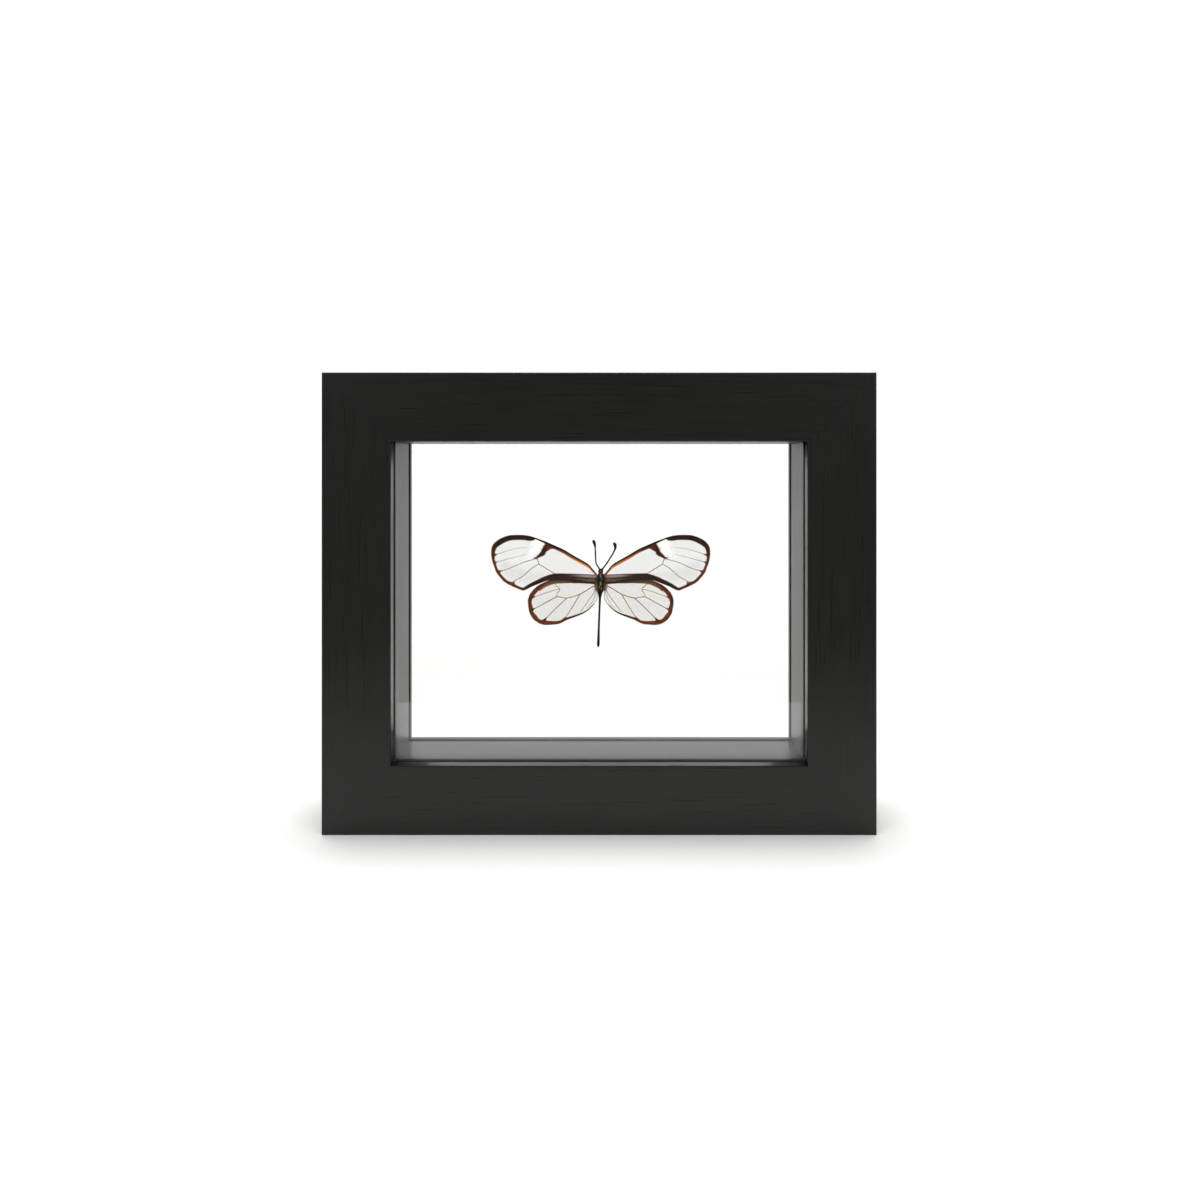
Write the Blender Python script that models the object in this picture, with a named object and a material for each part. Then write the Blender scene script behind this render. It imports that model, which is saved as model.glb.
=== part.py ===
"""A butterfly specimen in a black double-glass frame that stands on its lower edge.

Metres, +Z up, -Y is the front. The origin is the middle of the frame's footprint.
From front to back each side of the frame holds: the moulding's lip, the front pane,
a spacer, the back pane and a back stop. The butterfly is fixed to the back pane.
"""

import math

import bmesh
import bpy
from mathutils import Matrix, Vector

MM = 0.001

# Frame
WIDTH = 120 * MM
HEIGHT = 100 * MM
DEPTH = 25 * MM
FACE_WIDTH = 15 * MM
LIP_THICKNESS = 2.9 * MM
REBATE_WIDTH = 5 * MM
EASED_EDGE = 0.4 * MM
GAP = 0.3 * MM

# What the rebate holds, from front to back
GLASS_THICKNESS = 2 * MM
SPACER_DEPTH = 15 * MM
LINER_EASED_EDGE = 0.2 * MM

# Butterfly: its thorax sits a little above the middle of the frame
THORAX_X = 0.2 * MM
THORAX_Z = 53.2 * MM
FOREWING_BACK = 5.9 * MM
WING_THICKNESS = 0.2 * MM
BODY_Y = 6.3 * MM
POINTS_PER_SPAN = 3
TUBE_BEVEL_RESOLUTION = 2

# Outlines of the right wings, in mm outward from the body and up from the thorax
FOREWING_OUTLINE = (
    (1.35, 0.9), (2.5, 3.0), (6.6, 5.55), (12.9, 8.7), (17.9, 10.3), (21.9, 10.1),
    (24.6, 8.7), (25.65, 6.4), (25.3, 3.3), (23.4, -0.15), (20.6, -2.0), (18.2, -2.7),
    (16.3, -1.8), (12.9, -0.45), (7.7, -0.25), (1.4, -1.0),
)
HINDWING_OUTLINE = (
    (1.35, -1.2), (5.5, -0.1), (10.0, 0.1), (13.5, -0.75), (15.9, -2.4), (17.0, -4.8),
    (16.8, -7.3), (15.4, -9.5), (12.9, -10.75), (9.5, -10.4), (6.1, -8.95), (2.9, -7.25),
    (1.0, -5.0), (1.2, -3.0),
)

# Body, in mm from the thorax: sideways, up, and the radius there
BODY_STATIONS = (
    (0.0, 2.25, 0.2), (0.0, 2.1, 0.46), (0.0, 1.75, 0.57), (0.0, 1.4, 0.48), (0.0, 1.15, 0.42),
    (0.0, 0.8, 0.74), (0.0, 0.0, 0.92), (0.0, -1.0, 0.95), (0.0, -2.0, 0.85), (-0.02, -3.0, 0.62),
    (-0.05, -3.7, 0.36), (-0.1, -4.6, 0.22), (-0.2, -8.0, 0.18), (-0.35, -12.0, 0.18),
    (-0.43, -14.3, 0.23), (-0.46, -15.6, 0.22), (-0.46, -16.2, 0.1),
)
ANTENNA_LEFT = (
    (-0.5, 2.75, 0.12), (-0.95, 3.3, 0.12), (-1.18, 4.1, 0.12), (-1.22, 5.8, 0.12),
    (-1.33, 7.6, 0.13), (-1.42, 8.1, 0.22), (-1.57, 8.6, 0.22), (-1.81, 9.1, 0.1),
)
ANTENNA_RIGHT = (
    (0.75, 2.75, 0.12), (1.25, 3.35, 0.12), (1.86, 4.3, 0.12), (2.7, 5.65, 0.12),
    (3.3, 6.75, 0.13), (3.46, 7.35, 0.22), (3.42, 7.95, 0.22), (3.08, 8.5, 0.1),
)
GLUE_RADIUS = 0.8 * MM
GLUE_BELOW_THORAX = 1.0 * MM
GLUE_SEGMENTS = 24

FRONT = -DEPTH / 2
BACK = DEPTH / 2
GLASS_FRONT_Y = FRONT + LIP_THICKNESS + GAP
SPACER_Y = GLASS_FRONT_Y + GLASS_THICKNESS + GAP
GLASS_BACK_Y = SPACER_Y + SPACER_DEPTH + GAP
BACK_STOP_Y = GLASS_BACK_Y + GLASS_THICKNESS + GAP
REBATE_START = FACE_WIDTH - REBATE_WIDTH
LINER_START = REBATE_START + GAP

# Each side of the frame: name, outer length, half the span across the frame, turn about Y
SIDES = (
    ("bottom", WIDTH, HEIGHT / 2, 0.0),
    ("left", HEIGHT, WIDTH / 2, math.pi / 2),
    ("top", WIDTH, HEIGHT / 2, math.pi),
    ("right", HEIGHT, WIDTH / 2, -math.pi / 2),
)


def clear_scene():
    for old in list(bpy.data.objects):
        bpy.data.objects.remove(old, do_unlink=True)


def material(name, color, roughness, metallic=0.0, alpha=1.0):
    made = bpy.data.materials.new(name)
    made.use_nodes = True
    shader = made.node_tree.nodes["Principled BSDF"]
    shader.inputs["Base Color"].default_value = (*color, 1.0)
    shader.inputs["Roughness"].default_value = roughness
    shader.inputs["Metallic"].default_value = metallic
    shader.inputs["Alpha"].default_value = alpha
    return made


def add_object(name, bm, finish):
    """Closes the bmesh off as an object of its own with one material."""
    bmesh.ops.recalc_face_normals(bm, faces=bm.faces)
    mesh = bpy.data.meshes.new(name)
    bm.to_mesh(mesh)
    bm.free()
    mesh.materials.append(finish)
    obj = bpy.data.objects.new(name, mesh)
    bpy.context.scene.collection.objects.link(obj)
    return obj


def extruded_profile(points, direction):
    """A bmesh prism: the closed profile, pushed along the direction."""
    bm = bmesh.new()
    face = bm.faces.new([bm.verts.new(point) for point in points])
    pushed = bmesh.ops.extrude_face_region(bm, geom=[face])["geom"]
    moved = [item for item in pushed if isinstance(item, bmesh.types.BMVert)]
    bmesh.ops.translate(bm, vec=direction, verts=moved)
    bmesh.ops.recalc_face_normals(bm, faces=bm.faces)
    return bm


def ease_long_edges(bm, radius):
    """Rounds the edges that run along X, apart from the inside corner of a rebate."""
    def runs_long(edge):
        run = edge.verts[1].co - edge.verts[0].co
        return abs(run.x) > 0.9 * run.length and edge.is_convex
    bmesh.ops.bevel(
        bm, geom=[edge for edge in bm.edges if runs_long(edge)],
        affect="EDGES", offset=radius, segments=2, profile=0.5, material=-1,
    )


def cut_mitre(bm, half_length, end):
    """Cuts one end at 45 degrees, half a gap short of the corner line, and closes it."""
    outward = Vector((end, 0.0, 1.0)).normalized()
    corner = Vector((end * half_length, 0.0, 0.0)) - outward * GAP / 2
    everything = bm.verts[:] + bm.edges[:] + bm.faces[:]
    cut = bmesh.ops.bisect_plane(
        bm, geom=everything, plane_co=corner, plane_no=outward, clear_outer=True,
    )["geom_cut"]
    rim = [item for item in cut if isinstance(item, bmesh.types.BMEdge)]
    bmesh.ops.contextual_create(bm, geom=rim)


def mitred_strip(name, side, profile, eased, finish):
    """One side's strip. The profile holds (y, distance from the frame's outer edge) points."""
    outer_length, half_span, turn = side
    half_length = outer_length / 2
    points = [(-half_length, y, reach) for y, reach in profile]
    bm = extruded_profile(points, (outer_length, 0.0, 0.0))
    ease_long_edges(bm, eased)
    for end in (-1, 1):
        cut_mitre(bm, half_length, end)
    bmesh.ops.translate(bm, vec=(0.0, 0.0, -half_span), verts=bm.verts)
    obj = add_object(name, bm, finish)
    obj.rotation_euler = (0.0, turn, 0.0)
    obj.location = (0.0, 0.0, HEIGHT / 2)
    return obj


def rectangle(y_start, y_end, reach_start, reach_end):
    return (
        (y_start, reach_start), (y_start, reach_end),
        (y_end, reach_end), (y_end, reach_start),
    )


def moulding_profile():
    lip_back = FRONT + LIP_THICKNESS
    return (
        (FRONT, 0.0), (FRONT, FACE_WIDTH), (lip_back, FACE_WIDTH),
        (lip_back, REBATE_START), (BACK, REBATE_START), (BACK, 0.0),
    )


def build_frame(lacquer, liner_lacquer):
    """Mouldings, spacers and back stops, one of each for every side."""
    spacer = rectangle(SPACER_Y, SPACER_Y + SPACER_DEPTH, LINER_START, FACE_WIDTH)
    back_stop = rectangle(BACK_STOP_Y, BACK, LINER_START, FACE_WIDTH)
    for place, *side in SIDES:
        kind = "stile" if place in ("left", "right") else "rail"
        mitred_strip(f"{kind}_{place}", side, moulding_profile(), EASED_EDGE, lacquer)
        mitred_strip(f"spacer_{place}", side, spacer, LINER_EASED_EDGE, liner_lacquer)
        mitred_strip(f"back_stop_{place}", side, back_stop, LINER_EASED_EDGE, liner_lacquer)


def build_pane(name, y_front, glass):
    pane_width = WIDTH - 2 * LINER_START
    pane_height = HEIGHT - 2 * LINER_START
    bm = bmesh.new()
    bmesh.ops.create_cube(bm, size=1.0)
    bmesh.ops.scale(bm, vec=(pane_width, GLASS_THICKNESS, pane_height), verts=bm.verts)
    obj = add_object(name, bm, glass)
    obj.location = (0.0, y_front + GLASS_THICKNESS / 2, HEIGHT / 2)


def smooth_outline(points, closed):
    """Catmull-Rom points through the given ones, POINTS_PER_SPAN to each span."""
    count = len(points)
    vectors = [Vector(point) for point in points]
    spans = count if closed else count - 1
    smooth = []
    for index in range(spans):
        if closed:
            before, start, end, after = (vectors[(index + step) % count] for step in (-1, 0, 1, 2))
        else:
            before, start, end, after = (
                vectors[min(max(index + step, 0), count - 1)] for step in (-1, 0, 1, 2)
            )
        for part in range(POINTS_PER_SPAN):
            t = part / POINTS_PER_SPAN
            smooth.append(
                start
                + (end - before) * t / 2
                + (before * 2 - start * 5 + end * 4 - after) * t ** 2 / 2
                + (start * 3 - before - end * 3 + after) * t ** 3 / 2
            )
    if not closed:
        smooth.append(vectors[-1])
    return smooth


def build_wing(name, outline, side, y_back, finish):
    """A thin flat wing. side is 1 for the right wing and -1 for the left."""
    points = [
        (THORAX_X + side * out * MM, y_back, THORAX_Z + up * MM)
        for out, up in smooth_outline(outline, closed=True)
    ]
    bm = extruded_profile(points, (0.0, -WING_THICKNESS, 0.0))
    add_object(name, bm, finish)


def build_tapered_tube(name, stations, finish):
    """A round tube through (sideways, up, radius) stations, with filled ends."""
    curve = bpy.data.curves.new(name, "CURVE")
    curve.dimensions = "3D"
    curve.bevel_depth = MM
    curve.bevel_resolution = TUBE_BEVEL_RESOLUTION
    curve.use_fill_caps = True
    route = smooth_outline(stations, closed=False)
    spline = curve.splines.new("POLY")
    spline.points.add(len(route) - 1)
    for point, (sideways, up, radius) in zip(spline.points, route):
        point.co = (sideways * MM, 0.0, up * MM, 1.0)
        point.radius = radius
    curve.materials.append(finish)
    obj = bpy.data.objects.new(name, curve)
    obj.location = (THORAX_X, BODY_Y, THORAX_Z)
    bpy.context.scene.collection.objects.link(obj)


def build_glue_dot(finish):
    bm = bmesh.new()
    bmesh.ops.create_cone(
        bm, cap_ends=True, segments=GLUE_SEGMENTS, radius1=GLUE_RADIUS, radius2=GLUE_RADIUS,
        depth=GAP, matrix=Matrix.Rotation(math.pi / 2, 4, "X"),
    )
    obj = add_object("glue_dot", bm, finish)
    obj.location = (THORAX_X, GLASS_BACK_Y - GAP * 1.5, THORAX_Z - GLUE_BELOW_THORAX)


def build_butterfly(membrane, chitin, glue):
    hindwing_back = FOREWING_BACK + GAP + WING_THICKNESS
    for place, side in (("left", -1), ("right", 1)):
        build_wing(f"forewing_{place}", FOREWING_OUTLINE, side, FOREWING_BACK, membrane)
        build_wing(f"hindwing_{place}", HINDWING_OUTLINE, side, hindwing_back, membrane)
    build_tapered_tube("butterfly_body", BODY_STATIONS, chitin)
    build_tapered_tube("antenna_left", ANTENNA_LEFT, chitin)
    build_tapered_tube("antenna_right", ANTENNA_RIGHT, chitin)
    build_glue_dot(glue)


def main():
    clear_scene()
    lacquer = material("satin black lacquered wood", (0.017, 0.017, 0.016), 0.4)
    liner_lacquer = material("satin black lacquered strip", (0.03, 0.03, 0.03), 0.35)
    glass = material("clear float glass", (0.95, 0.97, 0.96), 0.02, alpha=0.1)
    membrane = material("wing membrane", (0.45, 0.42, 0.4), 0.3, alpha=0.3)
    chitin = material("dark hairy chitin", (0.02, 0.015, 0.01), 0.6)
    glue = material("clear glue", (0.85, 0.82, 0.75), 0.2, alpha=0.5)
    build_frame(lacquer, liner_lacquer)
    build_pane("glass_front", GLASS_FRONT_Y, glass)
    build_pane("glass_back", GLASS_BACK_Y, glass)
    build_butterfly(membrane, chitin, glue)


main()
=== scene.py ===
"""Looks of a small standing frame with a glasswing butterfly between two panes of glass.

Four mitred lengths of black-lacquered moulding hold, from front to back, a pane, a deep
spacer, a second pane and a thin back stop. The spread butterfly is glued to the back pane.
Everything is in metres with -Y at the front; sizes given in millimetres are multiplied by MM.
A wing's own coordinates are millimetres outward from the body's middle and up from the thorax.
"""

import logging
import math
from collections.abc import Callable, Iterable, Sequence
from dataclasses import dataclass, field
from enum import Enum
from functools import partial

import bmesh
import bpy
import numpy as np
from mathutils import Matrix, Vector


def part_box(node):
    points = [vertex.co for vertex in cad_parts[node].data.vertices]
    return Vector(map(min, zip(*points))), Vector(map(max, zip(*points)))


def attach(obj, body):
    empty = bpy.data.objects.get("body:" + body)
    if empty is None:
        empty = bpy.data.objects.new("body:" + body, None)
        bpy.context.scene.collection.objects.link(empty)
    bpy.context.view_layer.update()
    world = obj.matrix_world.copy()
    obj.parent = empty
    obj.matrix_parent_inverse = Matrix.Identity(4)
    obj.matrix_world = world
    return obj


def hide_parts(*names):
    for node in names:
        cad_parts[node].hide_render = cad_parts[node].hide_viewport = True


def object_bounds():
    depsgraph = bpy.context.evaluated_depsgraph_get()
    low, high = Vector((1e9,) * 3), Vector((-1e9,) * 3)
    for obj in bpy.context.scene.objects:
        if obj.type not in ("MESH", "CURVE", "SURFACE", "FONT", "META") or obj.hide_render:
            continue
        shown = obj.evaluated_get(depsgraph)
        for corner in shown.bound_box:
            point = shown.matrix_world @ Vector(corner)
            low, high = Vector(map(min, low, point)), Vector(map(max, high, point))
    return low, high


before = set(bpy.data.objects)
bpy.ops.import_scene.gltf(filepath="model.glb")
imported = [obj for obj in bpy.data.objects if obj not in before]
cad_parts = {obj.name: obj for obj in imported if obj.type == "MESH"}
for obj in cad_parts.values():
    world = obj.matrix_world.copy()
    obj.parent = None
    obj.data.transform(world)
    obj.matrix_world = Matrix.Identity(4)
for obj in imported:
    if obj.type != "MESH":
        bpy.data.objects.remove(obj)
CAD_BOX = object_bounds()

MM = 0.001
SPREAD = 0.9935 * MM  # the millimetre that the insect is drawn in, reduced to its measured span
BODY = "root"
FAR_OUTSIDE = -9.0  # how many millimetres inside a mark a place is before any mark is measured
GLUE_BELOW = 1.25  # millimetres from the thorax's middle down to the glue dot's middle
# the kind of each vertex attribute, then what Blender calls a kind's numbers and how many it has
KINDS = {
    "edge": "FLOAT", "haze": "FLOAT", "density": "FLOAT", "shade": "FLOAT", "lay": "FLOAT_VECTOR",
    "pigment": "FLOAT_COLOR", "bare": "FLOAT_COLOR",
}
PARTS = {"FLOAT": ("value", 1), "FLOAT_VECTOR": ("vector", 3), "FLOAT_COLOR": ("color", 4)}
LOG = logging.getLogger("framed_butterfly")

Point = tuple[float, ...]
Array = np.ndarray


# ---------------------------------------------------------------- helpers


def linear(hex_code: str) -> tuple[float, float, float]:
    """Turns an sRGB hex colour to linear.

    Args:
        hex_code: six hex digits, such as "1d1d1c".

    Returns:
        The linear red, green and blue.
    """
    parts = [int(hex_code[i : i + 2], 16) / 255 for i in (0, 2, 4)]
    return tuple(p / 12.92 if p <= 0.04045 else ((p + 0.055) / 1.055) ** 2.4 for p in parts)


def rgba(hex_code: str) -> tuple[float, float, float, float]:
    """The linear colour of an sRGB hex code, with full alpha."""
    return (*linear(hex_code), 1.0)


def add_node(tree: bpy.types.NodeTree, kind: str, inputs: dict | None = None, **settings) -> bpy.types.Node:
    """Adds a node with its settings, values and links.

    Args:
        tree: the shader or geometry node tree.
        kind: the node's Blender type name.
        inputs: for each input name or index, a value or the output socket to link.
        **settings: the node's own properties.

    Returns:
        The new node.
    """
    node = tree.nodes.new(kind)
    for name, value in settings.items():
        setattr(node, name, value)
    for name, value in (inputs or {}).items():
        if isinstance(value, bpy.types.NodeSocket):
            tree.links.new(value, node.inputs[name])
        else:
            node.inputs[name].default_value = value
    return node


def empty_material(name: str) -> tuple[bpy.types.Material, Callable[..., bpy.types.Node]]:
    """Makes a material that holds no nodes.

    Args:
        name: the material's name.

    Returns:
        The material, and add_node for its own tree.
    """
    material = bpy.data.materials.new(name)
    material.use_nodes = True
    material.node_tree.nodes.clear()
    return material, partial(add_node, material.node_tree)


def smooth_curve(points: Sequence[Point], steps: int) -> Array:
    """Catmull-Rom curve through given points.

    Args:
        points: the points that the curve passes through, of any dimension.
        steps: how many points to make, evenly spaced along the curve.

    Returns:
        An array of steps points.
    """
    knots = np.array(points, float)
    padded = np.vstack([2 * knots[0] - knots[1], knots, 2 * knots[-1] - knots[-2]])
    fine = []
    for a, b, c, d in zip(padded, padded[1:], padded[2:], padded[3:]):
        t = np.linspace(0, 1, 24, endpoint=False)[:, None]
        bend = (2 * a - 5 * b + 4 * c - d) * t**2 / 2
        twist = (3 * b - a - 3 * c + d) * t**3 / 2
        fine.append(b + (c - a) * t / 2 + bend + twist)
    fine = np.vstack([*fine, knots[-1:]])
    along = np.concatenate([[0], np.cumsum(np.linalg.norm(np.diff(fine, axis=0), axis=1))])
    wanted = np.linspace(0, along[-1], steps)
    return np.column_stack([np.interp(wanted, along, fine[:, i]) for i in range(fine.shape[1])])


def smoothstep(low: float, high: float, values: Array) -> Array:
    """Rises smoothly from 0 at low to 1 at high."""
    t = np.clip((values - low) / (high - low), 0, 1)
    return t * t * (3 - 2 * t)


def distance_to(curve: Array, points: Array) -> tuple[Array, Array]:
    """How far points are from a curve, and where along it the nearest place is.

    Args:
        curve: dense points along the curve.
        points: the points to measure.

    Returns:
        The distances, and the nearest places as shares of the curve from 0 to 1.
    """
    starts, runs = curve[:-1], np.diff(curve, axis=0)
    lengths = np.maximum((runs**2).sum(1), 1e-12)
    best, where = np.full(len(points), 1e9), np.zeros(len(points))
    for index, (start, run, length) in enumerate(zip(starts, runs, lengths)):
        share = np.clip(((points - start) @ run) / length, 0, 1)
        gap = np.linalg.norm(points - start - share[:, None] * run, axis=1)
        nearer = gap < best
        best = np.where(nearer, gap, best)
        where = np.where(nearer, (index + share) / len(runs), where)
    return best, where


def ride_as_piece(obj: bpy.types.Object, replaced: Iterable[str] = ()) -> None:
    """Fixes a finished piece to the frame's one body.

    Args:
        obj: the piece, at the origin with its place in its mesh.
        replaced: the CAD nodes that it stands for.
    """
    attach(obj, BODY)
    if replaced:
        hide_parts(*replaced)


def add_mesh(name: str, mesh: bpy.types.Mesh, *materials: bpy.types.Material) -> bpy.types.Object:
    """Links a mesh to the scene as an object at the origin.

    Args:
        name: the object's name.
        mesh: its mesh.
        *materials: the materials of its slots, in order.

    Returns:
        The object.
    """
    mesh.materials.clear()
    for material in materials:
        mesh.materials.append(material)
    obj = bpy.data.objects.new(name, mesh)
    bpy.context.scene.collection.objects.link(obj)
    return obj


def mesh_of(name: str, bm: bmesh.types.BMesh, sharp_degrees: float = 40.0) -> bpy.types.Mesh:
    """Turns a bmesh into a smooth-shaded mesh with its faces outward, and frees it.

    Args:
        name: the mesh's name.
        bm: the bmesh.
        sharp_degrees: edges bent by more than this stay sharp.

    Returns:
        The mesh.
    """
    bmesh.ops.recalc_face_normals(bm, faces=bm.faces)
    mesh = bpy.data.meshes.new(name)
    bm.to_mesh(mesh)
    bm.free()
    mesh.shade_smooth()
    mesh.set_sharp_from_angle(angle=math.radians(sharp_degrees))
    return mesh


def weigh_normals(obj: bpy.types.Object) -> None:
    """Makes flat faces next to eased edges shade flat."""
    modifier = obj.modifiers.new("weighted normals", "WEIGHTED_NORMAL")
    modifier.keep_sharp = True


def spun(points: Sequence[Point], axis: Point, steps: int, merged: float) -> bmesh.types.BMesh:
    """Spins an open profile once round an axis through the origin.

    Args:
        points: the profile, from one pole to the other.
        axis: the axis's direction.
        steps: how many steps the turn has.
        merged: the distance within which vertices become one, which closes the poles.

    Returns:
        The closed shape.
    """
    bm = bmesh.new()
    rim = [bm.verts.new(point) for point in points]
    edges = [bm.edges.new(pair) for pair in zip(rim, rim[1:])]
    bmesh.ops.spin(
        bm, geom=rim + edges, cent=(0, 0, 0), axis=axis, angle=math.tau, steps=steps, use_merge=True
    )
    bmesh.ops.remove_doubles(bm, verts=bm.verts, dist=merged)
    return bm


# ---------------------------------------------------------------- finishes


class GrainAxis(Enum):
    """The direction that a strip of wood runs in."""

    ALONG_X = "x"
    ALONG_Z = "z"


@dataclass(frozen=True)
class SatinLacquer:
    """Solid-grain hardwood sprayed with black satin nitrocellulose lacquer.

    The lacquer levels out over the grain, so the eye gets a deep black with a soft sheen, a
    faint orange peel, and the wood's long pores showing through only as shallow lines.
    """

    name: str
    axis: GrainAxis
    colour: str = "1a1a19"
    worn_colour: str = "1e1e1d"
    roughness: float = 0.31
    specular: float = 0.22
    pore_width: float = 0.3 * MM
    pore_length: float = 14 * MM
    peel_size: float = 0.9 * MM
    grit_size: float = 0.22 * MM  # real spray grit is finer; this is as fine as shows
    tone_size: float = 9 * MM
    relief: float = 0.0025 * MM
    peel_relief: float = 0.01 * MM

    def build(self) -> bpy.types.Material:
        """Makes the material from the wood's pores, the peel and the grit."""
        material, node = empty_material(self.name)
        place = node("ShaderNodeTexCoord").outputs["Object"]
        pore = {
            GrainAxis.ALONG_X: (self.pore_length, self.pore_width, self.pore_width),
            GrainAxis.ALONG_Z: (self.pore_width, self.pore_width, self.pore_length),
        }[self.axis]
        drawn_out = node(
            "ShaderNodeMapping", {"Vector": place, "Scale": pore}, vector_type="TEXTURE"
        ).outputs[0]
        pores = node("ShaderNodeTexNoise", {"Vector": drawn_out, "Scale": 1.0, "Detail": 3.0}).outputs[0]
        peel, grit, cloud = (
            node("ShaderNodeTexNoise", {"Vector": place, "Scale": 1 / size, "Detail": detail}).outputs[0]
            for size, detail in ((self.peel_size, 1.0), (self.grit_size, 0.0), (self.tone_size, 2.0))
        )
        tone = node("ShaderNodeMath", {0: pores, 1: cloud}, operation="MULTIPLY").outputs[0]
        share = node("ShaderNodeMapRange", {"Value": tone, "From Min": 0.1, "From Max": 0.4})
        colour = node(
            "ShaderNodeMix",
            {0: share.outputs[0], 6: rgba(self.colour), 7: rgba(self.worn_colour)},
            data_type="RGBA",
        ).outputs[2]
        rough = node(
            "ShaderNodeMapRange",
            {"Value": pores, "From Min": 0.3, "From Max": 0.7, "To Min": self.roughness - 0.04,
             "To Max": self.roughness + 0.04},
        ).outputs[0]
        relief = None
        bumps = ((pores, 0.5, self.relief), (peel, 0.8, self.peel_relief), (grit, 0.6, self.relief))
        for height, strength, depth in bumps:
            inputs = {"Height": height, "Strength": strength, "Distance": depth}
            if relief:
                inputs["Normal"] = relief
            relief = node("ShaderNodeBump", inputs).outputs[0]
        shader = node(
            "ShaderNodeBsdfPrincipled",
            {"Base Color": colour, "Roughness": rough, "Normal": relief, "IOR": 1.5,
             "Specular IOR Level": self.specular},
        )
        node("ShaderNodeOutputMaterial", {0: shader.outputs[0]})
        return material


@dataclass(frozen=True)
class FloatGlass:
    """Clear float glass with polished faces, which is seen only by its faint green cast."""

    name: str = "clear float glass"
    colour: str = "fefffe"
    ior: float = 1.5

    def build(self) -> bpy.types.Material:
        """Makes glass that bends the view but lets lamps straight through."""
        material, node = empty_material(self.name)
        shader = node(
            "ShaderNodeBsdfPrincipled",
            {"Base Color": rgba(self.colour), "Roughness": 0.0, "IOR": self.ior,
             "Transmission Weight": 1.0},
        )
        shadow = node("ShaderNodeLightPath").outputs["Is Shadow Ray"]
        clear = node("ShaderNodeBsdfTransparent", {"Color": rgba(self.colour)})
        mix = node("ShaderNodeMixShader", {0: shadow, 1: shader.outputs[0], 2: clear.outputs[0]})
        node("ShaderNodeOutputMaterial", {0: mix.outputs[0]})
        return material


@dataclass(frozen=True)
class ClearGlue:
    """A dot of clear PVA glue, dried hard: glossy, and slightly yellow."""

    name: str = "dried clear glue"
    colour: str = "f3ecd8"
    wrinkle_size: float = 0.4 * MM

    def build(self) -> bpy.types.Material:
        """Makes the material, with a shallow skin wrinkle."""
        material, node = empty_material(self.name)
        place = node("ShaderNodeTexCoord").outputs["Object"]
        wrinkle = node("ShaderNodeTexNoise", {"Vector": place, "Scale": 1 / self.wrinkle_size}).outputs[0]
        relief = node(
            "ShaderNodeBump", {"Height": wrinkle, "Strength": 0.5, "Distance": 0.01 * MM}
        ).outputs[0]
        shader = node(
            "ShaderNodeBsdfPrincipled",
            {"Base Color": rgba(self.colour), "Roughness": 0.12, "IOR": 1.46, "Transmission Weight": 0.9,
             "Normal": relief},
        )
        node("ShaderNodeOutputMaterial", {0: shader.outputs[0]})
        return material


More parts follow.
